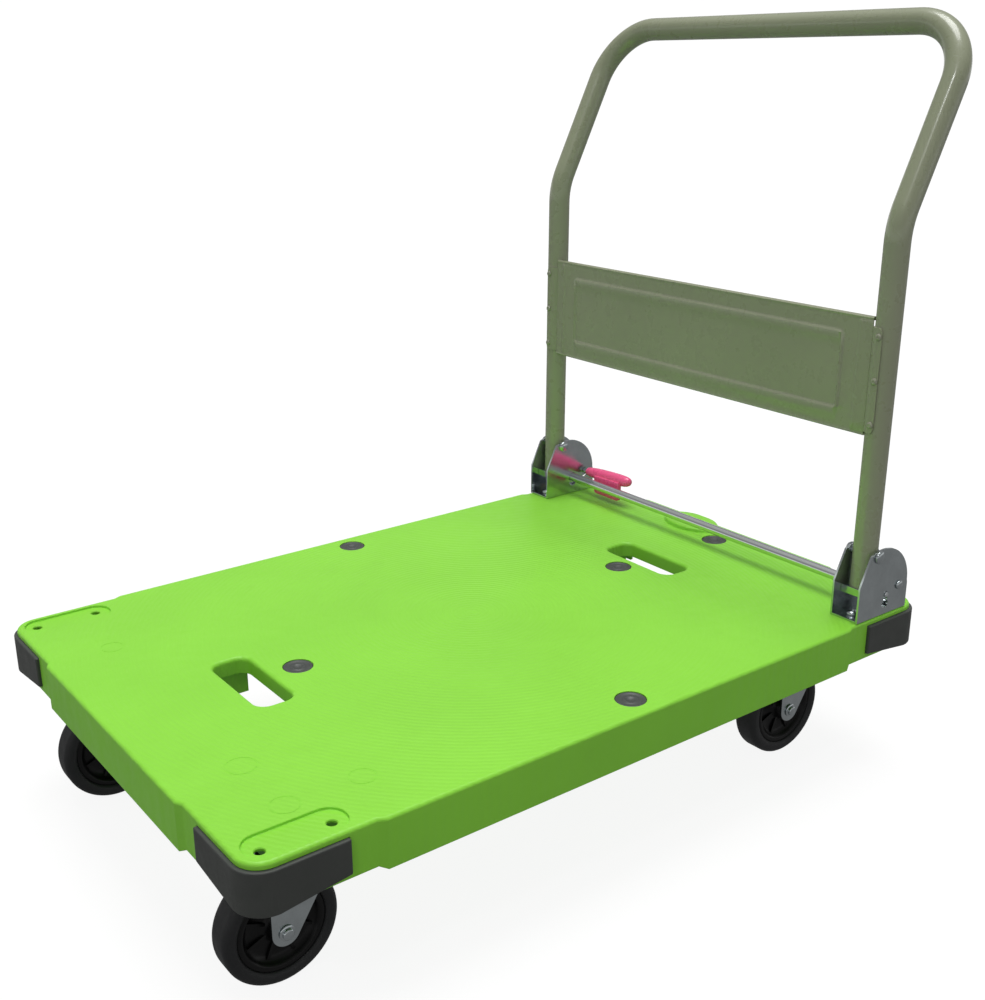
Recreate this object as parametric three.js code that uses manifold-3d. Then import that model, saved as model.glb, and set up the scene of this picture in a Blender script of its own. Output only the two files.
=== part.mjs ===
// Folding platform cart: a moulded plastic deck on four swivel casters, with a tubular steel handle
// that folds forward over the deck once the pedal beside its foot has lowered the lock rod.
// Millimetres. +X runs along the deck towards the handle, +Y towards the pedal side, +Z up.
// The origin is on the floor, under the middle of the box that the whole cart fills.

import * as THREE from 'three';
import { mergeVertices } from 'three/addons/utils/BufferGeometryUtils.js';
import Module from 'manifold-3d';

const wasm = await Module();
wasm.setup();

// ---- Driving dimensions -------------------------------------------------------------------------

const GAP = 0.3; // left between pieces that touch
const PAST = 2; // how far a cutter runs past the face that it opens

// Deck
const DECK_LENGTH = 898;
const DECK_WIDTH = 610;
const DECK_TOP = 198; // height of the load surface above the floor
const DECK_CORNER_RADIUS = 30;
const DECK_SKIRT = 49; // depth of the side walls at the corners
const DECK_MIDDLE_DROP = 4; // the middle of each side reaches this much lower
const DECK_MIDDLE_PROUD = 4; // and stands this much further out
const DECK_SKIN = 6; // thickness of the load surface
const DECK_WALL = 8; // thickness of the side walls
const DECK_EDGE = 4; // rounding of the top and bottom edges
const SIDE_STEP_FROM_END = 136; // where the proud middle of a long side starts
const END_STEP_FROM_SIDE = 138; // where the proud middle of a short side starts
const STEP_SLOPE = 8; // length of the slope between the two levels
const RIB_THICKNESS = 4;
const RIB_DEPTH = 30; // load surface to the lower edge of the ribs
const CROSS_RIB_PITCH = 90;
const LONG_RIB_PITCH = 200;

// Hand holes
const HAND_HOLE_LENGTH = 119; // across the deck
const HAND_HOLE_WIDTH = 43; // along the deck
const HAND_HOLE_RADIUS = 14;
const HAND_HOLE_WALL = 5;
const HAND_HOLE_DEPTH = 19; // load surface to the lower edge of the hole's wall
const HOLE_RIB_GAP = 2; // between that wall and the deep rib across each of its ends
const FRONT_HOLE_FROM_END = 161;
const REAR_HOLE_FROM_END = 166.5;

// Round plugs in the load surface
const PLUG_RADIUS = 16.5;
const PLUG_HEAD = 3.5;
const PLUG_STEM_RADIUS = 7;
const PLUG_LENGTH = 12;
const PLUG_RECESS = 0.5; // the plug's face lies this far below the surface
const PLUG_FROM_END = 216;
const PLUG_FROM_SIDE = 31;
const REAR_PLUG_FROM_END = 48;
const REAR_PLUG_OFFSET = -8;

// Flat oval rise moulded into the rear edge, which cuts it off
const RISE_LENGTH = 88; // across the deck
const RISE_WIDTH = 56; // along the deck
const RISE_HEIGHT = 5;
const RISE_FROM_END = 26;
const RISE_OFFSET = 57;

// Sunk pads in the front corners, each with two screw holes
const PAD_DEPTH = 3;
const PAD_LENGTH = 99;
const PAD_WIDTH = 38;
const PAD_RADIUS = 18;
const PAD_FROM_END = 13;
const PAD_FROM_SIDE = 11;
const PAD_HOLE_RADIUS = 5;
const PAD_HOLE_FROM_END = 27;
const PAD_HOLE_SPACING = 69;
const PAD_HOLE_FROM_SIDE = 27;

// Corner bumpers
const BUMPER_ARM = 100;
const BUMPER_THICKNESS = 7;
const BUMPER_BELOW_TOP = 7;
const BUMPER_HEIGHT = 44;
const BUMPER_TAPER = 9; // the lower edge rises by this much at the end of each arm

// Handle
const TUBE_RADIUS = 14.3;
const TUBE_WALL = 1.6;
const LEG_FROM_SIDE = 24; // leg axis to the side of the deck
const LEG_FROM_END = 90; // leg axis to the rear end of the deck
const LEAN_START = 450; // height of the bend above the deck
const LEAN_BACK = 100; // how far the top bar lies behind the legs
const HANDLE_TILT = THREE.MathUtils.degToRad(0.57); // the upright handle leans back by this
const HANDLE_TOP = 656; // height of the top bar's axis above the deck
const LEAN_RADIUS = 90;
const TOP_RADIUS = 72;

// Panel between the legs
const PANEL_BOTTOM = 216;
const PANEL_TOP = 350;
const PANEL_FORWARD = 9.5; // panel to the plane of the leg axes
const PANEL_SHEET = 1.5;
const PANEL_HEM = 5; // height of the folded hems
const PANEL_HEM_DEPTH = 4.5;
const WRAP_BOTTOM = 221;
const WRAP_TOP = 340;
const WRAP_ANGLE = 105; // how far each side flange reaches round its leg, in degrees
const FRAME_INSET = 40; // pressed frame line to the leg's inner face
const FRAME_MARGIN = 22; // pressed frame line to the panel's edges
const FRAME_WIDTH = 6;
const FRAME_PROUD = 1.2;
const RIVET_HEAD_RADIUS = 4;
const RIVET_HEAD = 2;
const RIVET_SHANK_RADIUS = 2;
const RIVET_SPACING = 49.5;

// Hinge brackets; heights are above the load surface and lengths are from the pivot
const BRACKET_SHEET = 2.5;
const BRACKET_SIDE_GAP = 2.5; // leg to each bracket plate
const BRACKET_FRONT = 30;
const BRACKET_REAR = 60;
const BRACKET_SHOULDER = 44; // where the front edge starts to slope
const BRACKET_ARC_X = 9;
const BRACKET_ARC_HEIGHT = 34;
const BRACKET_ARC_RADIUS = 50;
const BRACKET_ARC_START = 116; // degrees, where the slope meets the round top
const PIVOT_HEIGHT = 76;
const PIVOT_RADIUS = 5;
const PIVOT_HEAD_RADIUS = 7.5;
const PIVOT_HEAD = 4.2;
const STOP_HEIGHT = 27; // lower edge of the cross strip that the leg leans on
const STOP_WIDTH = 9;
const STOP_SHEET = 2;
const BRACKET_BOLT_FRONT = -14;
const BRACKET_BOLT_REAR = 44;
const BRACKET_BOLT_RADIUS = 4;
const BRACKET_BOLT_HEAD_RADIUS = 7;
const BRACKET_BOLT_HEAD = 4.5;
const BRACKET_BOLT_LENGTH = 24;

// Lock rod, its pedal and their springs
const ROD_RADIUS = 6.25;
const ROD_END_RADIUS = 3;
const ROD_BEHIND_PIVOT = 20;
const ROD_HEIGHT = 25;
const ROD_TRAVEL = 6;
const ROD_SLOT_GAP = 0.5; // round the rod in the bracket's slots
const LEG_END_CLEARANCE = 0.6; // the leg's end passes this far from the rod
const SPACER_RADIUS = 3.5; // the pin that holds the two plates of the right bracket apart
const SPACER_HEAD_RADIUS = 5.5;
const SPACER_HEAD = 3.5;
const STUB_RADIUS = 4;
const STUB_HEAD = 1.6;
const STUB_BEHIND_PIVOT = 43;
const STUB_HEIGHT = 31.5;
const RUNNING_GAP = 0.35; // round a pin that its neighbour turns on
const ARM_SHEET = 1.8;
const ARM_RADIUS = 9;
const PEDAL_FROM_BRACKET = 9;
const PEDAL_LENGTH = 91;
const PEDAL_RADIUS = 9.3;
const PEDAL_NECK_RADIUS = 6.6;
const PEDAL_RISE = 5; // the free end is this much higher
const PEDAL_BORE_DEPTH = 26;
const PEDAL_RIB_START = 25; // from the pedal's inner end
const PEDAL_RIB_LENGTH = 53;
const PEDAL_RIB_THICKNESS = 7;
const PEDAL_RIB_FORWARD = 8; // rib's middle to the stub
const PEDAL_RIB_BOTTOM = 6.6; // above the load surface
const SPRING_RADIUS = 5.5;
const SPRING_WIRE = 1.4;

// Casters
const CASTER_FROM_END = 102.5;
const CASTER_FROM_SIDE = 102;
const CASTER_HEIGHT = 160; // floor to the face that it bolts to
const CASTER_OFFSET = 30; // axle to swivel axis
const WHEEL_RADIUS = 59.5;
const TYRE_WIDTH = 31;
const TYRE_SHOULDER = 7;
const TYRE_DEPTH = 14;
const HUB_LENGTH = 36;
const HUB_RADIUS = 13;
const HUB_WEB = 7;
const HUB_RIM = 5;
const HUB_RIM_WIDTH = 26;
const AXLE_RADIUS = 6;
const AXLE_HEAD_RADIUS = 8;
const AXLE_HEAD = 5;
const FORK_SHEET = 3.2;
const FORK_END_RADIUS = 14.5;
const FORK_TOP = 141; // floor to the upper face of the fork's crown
const FORK_FRONT_TOP = 100; // where the front edge of a leg starts to slope
const FORK_REACH_FRONT = 34;
const FORK_REACH_REAR = 38;
const PLATE_LENGTH = 100;
const PLATE_WIDTH = 86;
const PLATE_SHEET = 4;
const PLATE_RADIUS = 9;
const PLATE_HOLE_RADIUS = 4.5;
const PLATE_HOLE_FROM_EDGE = 13;
const RACE_RADIUS = 30;
const RACE_STEP = 5;
const KINGPIN_RADIUS = 6;
const KINGPIN_HEAD_RADIUS = 10;
const KINGPIN_HEAD = 6;

// ---- Places that follow from them ---------------------------------------------------------------

const LEG_X = DECK_LENGTH / 2 - LEG_FROM_END;
const LEG_Y = DECK_WIDTH / 2 - LEG_FROM_SIDE;
const PIVOT_Z = DECK_TOP + PIVOT_HEIGHT;
const TOP_BAR_X = LEG_X + LEAN_BACK; // before the handle is tilted
const ROD_X = LEG_X + ROD_BEHIND_PIVOT;
const ROD_Z = DECK_TOP + ROD_HEIGHT;
const STUB_X = LEG_X + STUB_BEHIND_PIVOT;
const STUB_Z = DECK_TOP + STUB_HEIGHT;
const PAD_Z = DECK_TOP - PAD_DEPTH;
const PLATE_INNER = TUBE_RADIUS + BRACKET_SIDE_GAP; // leg axis to a bracket plate's near face
const PLATE_OUTER = PLATE_INNER + BRACKET_SHEET;
const INBOARD_Y = LEG_Y - PLATE_OUTER; // face of a bracket that looks at the other one
const BRACKET_BASE_TOP = DECK_TOP + GAP + BRACKET_SHEET;
const ARM_Y = INBOARD_Y + BRACKET_SHEET + GAP; // inner face of the pedal's arm, inside the left bracket
const AXLE_HALF = HUB_LENGTH / 2 + GAP + FORK_SHEET; // wheel's middle to a fork leg's outer face

// The leg stops short of the circle, about the pivot, that just clears the lock rod.
const SWEEP_RADIUS = Math.hypot(ROD_BEHIND_PIVOT, PIVOT_HEIGHT - ROD_HEIGHT) - ROD_RADIUS - LEG_END_CLEARANCE;
const LEG_END_Z = PIVOT_Z - Math.sqrt(SWEEP_RADIUS ** 2 - TUBE_RADIUS ** 2);

// The whole cart's box runs from the deck's front end to the back of the top bar.
const TOP_BAR_BACK = LEG_X + LEAN_BACK * Math.cos(HANDLE_TILT) + TUBE_RADIUS
  + (HANDLE_TOP - PIVOT_HEIGHT) * Math.sin(HANDLE_TILT);
const BOX_MIDDLE_X = (TOP_BAR_BACK - DECK_LENGTH / 2) / 2;

// ---- Materials ----------------------------------------------------------------------------------

function finish(color, roughness, metalness) {
  return () => new THREE.MeshStandardMaterial({ color, roughness, metalness });
}
const limePlastic = finish(0x7fd13c, 0.42, 0);
const greyRubber = finish(0x3a3c3a, 0.75, 0);
const darkPlastic = finish(0x4a4c48, 0.55, 0);
const olivePaint = finish(0x77795f, 0.35, 0.1);
const zincPlate = finish(0xa9adae, 0.32, 0.9);
const chromeRod = finish(0xd4d6d8, 0.12, 1);
const pinkPlastic = finish(0xe8487f, 0.38, 0);
const springSteel = finish(0x8b8d90, 0.3, 1);
const blackPlastic = finish(0x0c0c0d, 0.3, 0);
const tyreRubber = finish(0x242526, 0.8, 0);

// ---- Solids from three.js geometry --------------------------------------------------------------

function solidOf(geometry) {
  const bare = new THREE.BufferGeometry();
  bare.setAttribute('position', geometry.getAttribute('position'));
  bare.setIndex(geometry.index);
  const merged = mergeVertices(bare, 1e-4);
  const corners = merged.index.array;
  const kept = [];
  for (let i = 0; i < corners.length; i += 3) {
    const [a, b, c] = [corners[i], corners[i + 1], corners[i + 2]];
    if (a !== b && b !== c && c !== a) {
      kept.push(a, b, c);
    }
  }
  return new wasm.Manifold(new wasm.Mesh({
    numProp: 3,
    vertProperties: new Float32Array(merged.getAttribute('position').array),
    triVerts: new Uint32Array(kept),
  }));
}

function meshOf(name, solid, material) {
  const { vertProperties, triVerts } = solid.getMesh();
  const geometry = new THREE.BufferGeometry();
  geometry.setAttribute('position', new THREE.BufferAttribute(vertProperties, 3));
  geometry.setIndex(new THREE.BufferAttribute(triVerts, 1));
  const mesh = new THREE.Mesh(geometry, material());
  mesh.name = name;
  return mesh;
}

function joined(solids) {
  return solids.reduce((whole, solid) => whole.add(solid));
}

function cut(solid, cutters) {
  return cutters.reduce((rest, cutter) => rest.subtract(cutter), solid);
}

function box(x, y, z) {
  const geometry = new THREE.BoxGeometry(x[1] - x[0], y[1] - y[0], z[1] - z[0]);
  geometry.translate((x[0] + x[1]) / 2, (y[0] + y[1]) / 2, (z[0] + z[1]) / 2);
  return solidOf(geometry);
}

// A flat shape in X and Y, made solid between two heights, with rounded upper and lower edges.
function prism(shape, low, high, edge = 0) {
  const geometry = new THREE.ExtrudeGeometry(shape, {
    depth: high - low - 2 * edge,
    curveSegments: 3,
    bevelEnabled: edge > 0,
    bevelThickness: edge,
    bevelSize: edge,
    bevelOffset: -edge,
    bevelSegments: 2,
  });
  geometry.translate(0, 0, low + edge);
  return solidOf(geometry);
}

// A flat shape whose X and Y become X and Z, made solid between two places along Y.
function sidePrism(shape, low, high) {
  const settings = { depth: high - low, curveSegments: 5, bevelEnabled: false };
  const geometry = new THREE.ExtrudeGeometry(shape, settings);
  geometry.rotateX(Math.PI / 2);
  geometry.translate(0, high, 0);
  return solidOf(geometry);
}

// A round solid about the Y axis from [radius, y] pairs that start and end on the axis.
function turnedAboutY(profile, segments) {
  const points = profile.map(([radius, y]) => new THREE.Vector2(radius, y));
  return solidOf(new THREE.LatheGeometry(points, segments));
}

function turnedAboutZ(profile, segments) {
  const points = profile.map(([radius, z]) => new THREE.Vector2(radius, z));
  const geometry = new THREE.LatheGeometry(points, segments);
  geometry.rotateX(Math.PI / 2);
  return solidOf(geometry);
}

function rod(radius, from, to, segments = 12) {
  const span = to.clone().sub(from);
  const geometry = new THREE.CylinderGeometry(radius, radius, span.length(), segments);
  const turn = new THREE.Quaternion();
  turn.setFromUnitVectors(new THREE.Vector3(0, 1, 0), span.normalize());
  geometry.applyQuaternion(turn);
  const middle = from.clone().add(to).multiplyScalar(0.5);
  geometry.translate(middle.x, middle.y, middle.z);
  return solidOf(geometry);
}

function uprightRod(radius, x, y, low, high, segments = 12) {
  return rod(radius, new THREE.Vector3(x, y, low), new THREE.Vector3(x, y, high), segments);
}

function crossRod(radius, x, z, low, high, segments = 12) {
  return rod(radius, new THREE.Vector3(x, low, z), new THREE.Vector3(x, high, z), segments);
}

function roundedRectangle(length, width, radius, x = 0, y = 0) {
  const shape = new THREE.Shape();
  const [right, top] = [length / 2, width / 2];
  shape.absarc(x + right - radius, y + top - radius, radius, 0, Math.PI / 2);
  shape.absarc(x - right + radius, y + top - radius, radius, Math.PI / 2, Math.PI);
  shape.absarc(x - right + radius, y - top + radius, radius, Math.PI, 1.5 * Math.PI);
  shape.absarc(x + right - radius, y - top + radius, radius, 1.5 * Math.PI, 2 * Math.PI);
  shape.closePath();
  return shape;
}

// ---- Deck ---------------------------------------------------------------------------------------

// A stretch that stands proud of the corners along X or Y, with a slope at each of its ends.
function proudStretch(halfLength, halfWidth, alongX) {
  const [a, b, c] = [halfLength, halfWidth, halfWidth - DECK_MIDDLE_PROUD - DECK_EDGE];
  const outline = [[a + STEP_SLOPE, c], [a, b], [-a, b], [-a - STEP_SLOPE, c]];
  const lower = outline.map(([along, across]) => [-along, -across]);
  const points = [...outline, ...lower];
  const placed = alongX ? points : points.map(([along, across]) => [across, -along]);
  const shape = new THREE.Shape(placed.map(([x, y]) => new THREE.Vector2(x, y)));
  return prism(shape, DECK_TOP - DECK_SKIRT - DECK_MIDDLE_DROP, DECK_TOP, DECK_EDGE);
}

function deckOuter() {
  const length = DECK_LENGTH - 2 * DECK_MIDDLE_PROUD;
  const width = DECK_WIDTH - 2 * DECK_MIDDLE_PROUD;
  const corners = roundedRectangle(length, width, DECK_CORNER_RADIUS - DECK_MIDDLE_PROUD);
  return joined([
    prism(corners, DECK_TOP - DECK_SKIRT, DECK_TOP, DECK_EDGE),
    proudStretch(DECK_LENGTH / 2 - SIDE_STEP_FROM_END, DECK_WIDTH / 2, true),
    proudStretch(DECK_WIDTH / 2 - END_STEP_FROM_SIDE, DECK_LENGTH / 2, false),
  ]);
}

function deckHollow() {
  const inset = 2 * (DECK_MIDDLE_PROUD + DECK_WALL);
  const radius = DECK_CORNER_RADIUS - DECK_MIDDLE_PROUD - DECK_WALL;
  const outline = roundedRectangle(DECK_LENGTH - inset, DECK_WIDTH - inset, radius);
  const bottom = DECK_TOP - DECK_SKIRT - DECK_MIDDLE_DROP;
  return prism(outline, bottom - PAST, DECK_TOP - DECK_SKIN);
}

const HAND_HOLES = [FRONT_HOLE_FROM_END - DECK_LENGTH / 2, DECK_LENGTH / 2 - REAR_HOLE_FROM_END];

function handHole(x, grow, low, high) {
  const [along, across] = [HAND_HOLE_WIDTH + 2 * grow, HAND_HOLE_LENGTH + 2 * grow];
  return prism(roundedRectangle(along, across, HAND_HOLE_RADIUS + grow, x), low, high);
}

// A deep rib across each end of a hand hole, outside its wall.
function handHoleRibs(holeX) {
  const near = HAND_HOLE_LENGTH / 2 + HAND_HOLE_WALL + HOLE_RIB_GAP;
  const reach = HAND_HOLE_WIDTH / 2 + HAND_HOLE_WALL;
  const x = [holeX - reach, holeX + reach];
  const z = [DECK_TOP - DECK_SKIRT + 1, DECK_TOP - DECK_SKIN / 2];
  return [box(x, [near, near + RIB_THICKNESS], z), box(x, [-near - RIB_THICKNESS, -near], z)];
}

// Ribs under the load surface, set out from the middle in both directions.
function deckRibs() {
  const z = [DECK_TOP - RIB_DEPTH, DECK_TOP - DECK_SKIN / 2];
  const half = RIB_THICKNESS / 2;
  const reachX = DECK_LENGTH / 2 - DECK_MIDDLE_PROUD - DECK_WALL / 2;
  const reachY = DECK_WIDTH / 2 - DECK_MIDDLE_PROUD - DECK_WALL / 2;
  const ribs = [];
  for (let x = CROSS_RIB_PITCH / 2; x < reachX; x += CROSS_RIB_PITCH) {
    ribs.push(box([x - half, x + half], [-reachY, reachY], z));
    ribs.push(box([-x - half, -x + half], [-reachY, reachY], z));
  }
  for (let y = LONG_RIB_PITCH / 2; y < reachY; y += LONG_RIB_PITCH) {
    ribs.push(box([-reachX, reachX], [y - half, y + half], z));
    ribs.push(box([-reachX, reachX], [-y - half, -y + half], z));
  }
  return joined(ribs);
}

const CASTER_X = DECK_LENGTH / 2 - CASTER_FROM_END;
const CASTER_Y = DECK_WIDTH / 2 - CASTER_FROM_SIDE;
const CORNERS = [
  { name: 'front_right', x: -1, y: -1 },
  { name: 'front_left', x: -1, y: 1 },
  { name: 'rear_right', x: 1, y: -1 },
  { name: 'rear_left', x: 1, y: 1 },
];

const FRONT_CORNERS = CORNERS.filter((corner) => corner.x < 0);

// Solid mounting faces for the four casters; everything below them is kept clear.
function casterSeat(corner) {
  const [x, y] = [corner.x * CASTER_X, corner.y * CASTER_Y];
  const shape = roundedRectangle(PLATE_LENGTH, PLATE_WIDTH, PLATE_RADIUS, x, y);
  return prism(shape, CASTER_HEIGHT, DECK_TOP - DECK_SKIN / 2);
}

function casterSpace(corner) {
  const margin = 4;
  const [x, y] = [corner.x * CASTER_X, corner.y * CASTER_Y];
  const shape = roundedRectangle(PLATE_LENGTH + margin, PLATE_WIDTH + margin, PLATE_RADIUS, x, y);
  return prism(shape, DECK_TOP - DECK_SKIRT - DECK_MIDDLE_DROP - PAST, CASTER_HEIGHT);
}

function cornerPad(corner) {
  const x = corner.x * (DECK_LENGTH / 2 - PAD_FROM_END - PAD_LENGTH / 2);
  const y = corner.y * (DECK_WIDTH / 2 - PAD_FROM_SIDE - PAD_WIDTH / 2);
  return prism(roundedRectangle(PAD_LENGTH, PAD_WIDTH, PAD_RADIUS, x, y), PAD_Z, DECK_TOP + PAST);
}

function padHoles(corner) {
  const y = corner.y * (DECK_WIDTH / 2 - PAD_HOLE_FROM_SIDE);
  return [0, PAD_HOLE_SPACING].map((along) => {
    const x = corner.x * (DECK_LENGTH / 2 - PAD_HOLE_FROM_END - along);
    return uprightRod(PAD_HOLE_RADIUS, x, y, DECK_TOP - 2 * DECK_SKIN, DECK_TOP + PAST);
  });
}

function bracketBoltPlaces() {
  return [1, -1].flatMap((side) => [
    { x: LEG_X + BRACKET_BOLT_FRONT, y: side * LEG_Y, side, end: 'front' },
    { x: LEG_X + BRACKET_BOLT_REAR, y: side * LEG_Y, side, end: 'rear' },
  ]);
}

function bracketBoltHole({ x, y }) {
  const low = DECK_TOP - BRACKET_BOLT_LENGTH - PAST;
  return uprightRod(BRACKET_BOLT_RADIUS + GAP, x, y, low, BRACKET_BASE_TOP + PAST);
}

const PLUG_PLACES = [
  { name: 'plug_front', x: PLUG_FROM_END - DECK_LENGTH / 2, y: 0 },
  { name: 'plug_rear', x: DECK_LENGTH / 2 - PLUG_FROM_END, y: 0 },
  { name: 'plug_rear_edge', x: DECK_LENGTH / 2 - REAR_PLUG_FROM_END, y: REAR_PLUG_OFFSET },
  { name: 'plug_left', x: 0, y: DECK_WIDTH / 2 - PLUG_FROM_SIDE },
  { name: 'plug_right', x: 0, y: PLUG_FROM_SIDE - DECK_WIDTH / 2 },
];

function plugHole({ x, y }) {
  const floor = DECK_TOP - PLUG_RECESS - PLUG_HEAD - GAP;
  return uprightRod(PLUG_RADIUS + GAP, x, y, floor, DECK_TOP + PAST, 24)
    .add(uprightRod(PLUG_STEM_RADIUS + GAP, x, y, DECK_TOP - PLUG_LENGTH - PAST, DECK_TOP));
}

// Boss under each plug, which holds its stem.
function plugBoss({ x, y }) {
  return uprightRod(PLUG_RADIUS + HAND_HOLE_WALL, x, y, DECK_TOP - PLUG_LENGTH, DECK_TOP - DECK_SKIN / 2, 16);
}

// Blocks inside the deck's rear corners, which take the bracket bolts.
function bracketBlock(side) {
  const inner = LEG_Y - PLATE_OUTER;
  const outer = DECK_WIDTH / 2 - DECK_MIDDLE_PROUD - DECK_WALL / 2;
  const y = side > 0 ? [inner, outer] : [-outer, -inner];
  const ends = [LEG_X + BRACKET_BOLT_FRONT - 2 * BRACKET_BOLT_HEAD_RADIUS, DECK_LENGTH / 2 - DECK_WALL];
  return box(ends, y, [DECK_TOP - BRACKET_BOLT_LENGTH, DECK_TOP - DECK_SKIN / 2]);
}

function ovalRise() {
  const x = DECK_LENGTH / 2 - RISE_FROM_END;
  const shape = new THREE.Shape();
  shape.absellipse(x, RISE_OFFSET, RISE_WIDTH / 2, RISE_LENGTH / 2, 0, 2 * Math.PI, false);
  const geometry = new THREE.ExtrudeGeometry(shape, {
    depth: RISE_HEIGHT,
    curveSegments: 12,
    bevelThickness: DECK_SKIN / 2,
    bevelSize: DECK_SKIN / 2,
    bevelOffset: -DECK_SKIN / 2,
    bevelSegments: 2,
  });
  geometry.translate(0, 0, DECK_TOP - DECK_SKIN / 2);
  const deep = [DECK_TOP - DECK_SKIN / 2, DECK_TOP + RISE_HEIGHT + PAST];
  const across = [RISE_OFFSET - RISE_LENGTH, RISE_OFFSET + RISE_LENGTH];
  return solidOf(geometry).intersect(box([x - RISE_WIDTH, DECK_LENGTH / 2 - DECK_EDGE / 2], across, deep));
}

function deck() {
  const wallBottom = DECK_TOP - HAND_HOLE_DEPTH;
  const whole = joined([
    cut(deckOuter(), [deckHollow()]),
    deckRibs(),
    ...HAND_HOLES.map((x) => handHole(x, HAND_HOLE_WALL, wallBottom, DECK_TOP - DECK_SKIN / 2)),
    ...HAND_HOLES.flatMap(handHoleRibs),
    ...CORNERS.map(casterSeat),
    ...PLUG_PLACES.map(plugBoss),
    bracketBlock(1),
    bracketBlock(-1),
    ovalRise(),
  ]);
  return cut(whole, [
    ...HAND_HOLES.map((x) => handHole(x, 0, DECK_TOP - DECK_SKIRT, DECK_TOP + PAST)),
    ...CORNERS.map(casterSpace),
    ...FRONT_CORNERS.map(cornerPad),
    ...FRONT_CORNERS.flatMap(padHoles),
    ...PLUG_PLACES.map(plugHole),
    ...bracketBoltPlaces().map(bracketBoltHole),
    ...CORNERS.map((corner) => bumperSolid(corner, GAP)),
  ]);
}

// ---- Bumpers and plugs --------------------------------------------------------------------------

// The corner strip; grow makes the slightly larger seat that it is pressed into.
function bumperSolid(corner, grow) {
  const outerRing = roundedRectangle(DECK_LENGTH, DECK_WIDTH, DECK_CORNER_RADIUS);
  const inset = 2 * (BUMPER_THICKNESS + grow);
  const radius = DECK_CORNER_RADIUS - BUMPER_THICKNESS;
  const innerRing = roundedRectangle(DECK_LENGTH - inset, DECK_WIDTH - inset, radius - grow);
  const high = DECK_TOP - BUMPER_BELOW_TOP + grow;
  const low = DECK_TOP - BUMPER_BELOW_TOP - BUMPER_HEIGHT - grow;
  const edge = grow > 0 ? 0 : 1;
  const ring = cut(prism(outerRing, low, high, edge), [prism(innerRing, low - PAST, high + PAST)]);
  const span = (reach, sign) => {
    const [near, far] = [reach - BUMPER_ARM - grow, reach + PAST];
    return sign > 0 ? [near, far] : [-far, -near];
  };
  const x = span(DECK_LENGTH / 2, corner.x);
  const y = span(DECK_WIDTH / 2, corner.y);
  const strip = ring.intersect(box(x, y, [low - PAST, high + PAST]));
  return cut(strip, [armTaper(corner, low, false), armTaper(corner, low, true)]);
}

// Wedge that lifts the lower edge of one arm towards its end.
function armTaper(corner, low, acrossArm) {
  const reach = acrossArm ? DECK_WIDTH / 2 : DECK_LENGTH / 2;
  const start = reach - DECK_CORNER_RADIUS;
  const end = reach - BUMPER_ARM - PAST;
  const sign = acrossArm ? corner.y : corner.x;
  const points = [[start, low], [end, low + BUMPER_TAPER], [end, low - PAST], [start, low - PAST]];
  const shape = new THREE.Shape(points.map(([along, z]) => new THREE.Vector2(sign * along, z)));
  const depth = 2 * BUMPER_THICKNESS;
  const geometry = new THREE.ExtrudeGeometry(shape, { depth, bevelEnabled: false });
  geometry.rotateX(Math.PI / 2);
  if (acrossArm) {
    geometry.rotateZ(Math.PI / 2);
    const side = DECK_LENGTH / 2 - depth / 2;
    geometry.translate(corner.x * side - depth / 2, 0, 0);
  } else {
    geometry.translate(0, corner.y * (DECK_WIDTH / 2 - depth / 2) + depth / 2, 0);
  }
  return solidOf(geometry);
}

function plug() {
  return turnedAboutZ([
    [0, -PLUG_LENGTH],
    [PLUG_STEM_RADIUS, -PLUG_LENGTH],
    [PLUG_STEM_RADIUS, -PLUG_RECESS - PLUG_HEAD],
    [PLUG_RADIUS, -PLUG_RECESS - PLUG_HEAD],
    [PLUG_RADIUS, -PLUG_RECESS - 1],
    [PLUG_RADIUS - 1, -PLUG_RECESS],
    [0, -PLUG_RECESS],
  ], 24);
}

// ---- Handle -------------------------------------------------------------------------------------

// A route of straight runs joined by arcs, sampled only where it turns.
class BentRoute extends THREE.Curve {
  constructor(corners, radii) {
    super();
    this.stations = [];
    this.addEnd(corners[0], corners[0], corners[1]);
    for (let i = 1; i < corners.length - 1; i += 1) {
      this.addArc(corners[i - 1], corners[i], corners[i + 1], radii[i - 1]);
    }
    const [before, last] = corners.slice(-2);
    this.addEnd(last, before, last);
  }

  addEnd(point, from, to) {
    this.stations.push({ point, tangent: to.clone().sub(from).normalize() });
  }

  addArc(before, corner, after, radius) {
    const incoming = corner.clone().sub(before).normalize();
    const outgoing = after.clone().sub(corner).normalize();
    const turn = incoming.angleTo(outgoing);
    const inward = outgoing.clone().addScaledVector(incoming, -Math.cos(turn)).normalize();
    const start = corner.clone().addScaledVector(incoming, -radius * Math.tan(turn / 2));
    const centre = start.clone().addScaledVector(inward, radius);
    const steps = Math.ceil(turn / THREE.MathUtils.degToRad(12));
    for (let i = 0; i <= steps; i += 1) {
      const angle = (turn * i) / steps;
      const point = centre.clone()
        .addScaledVector(inward, -radius * Math.cos(angle))
        .addScaledVector(incoming, radius * Math.sin(angle));
      const tangent = incoming.clone()
        .multiplyScalar(Math.cos(angle))
        .addScaledVector(inward, Math.sin(angle));
      this.stations.push({ point, tangent });
    }
  }

  station(t) {
    return this.stations[Math.round(t * (this.stations.length - 1))];
  }

  getPointAt(t) {
    return this.station(t).point.clone();
  }

  getTangentAt(t) {
    return this.station(t).tangent.clone();
  }
}

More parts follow.
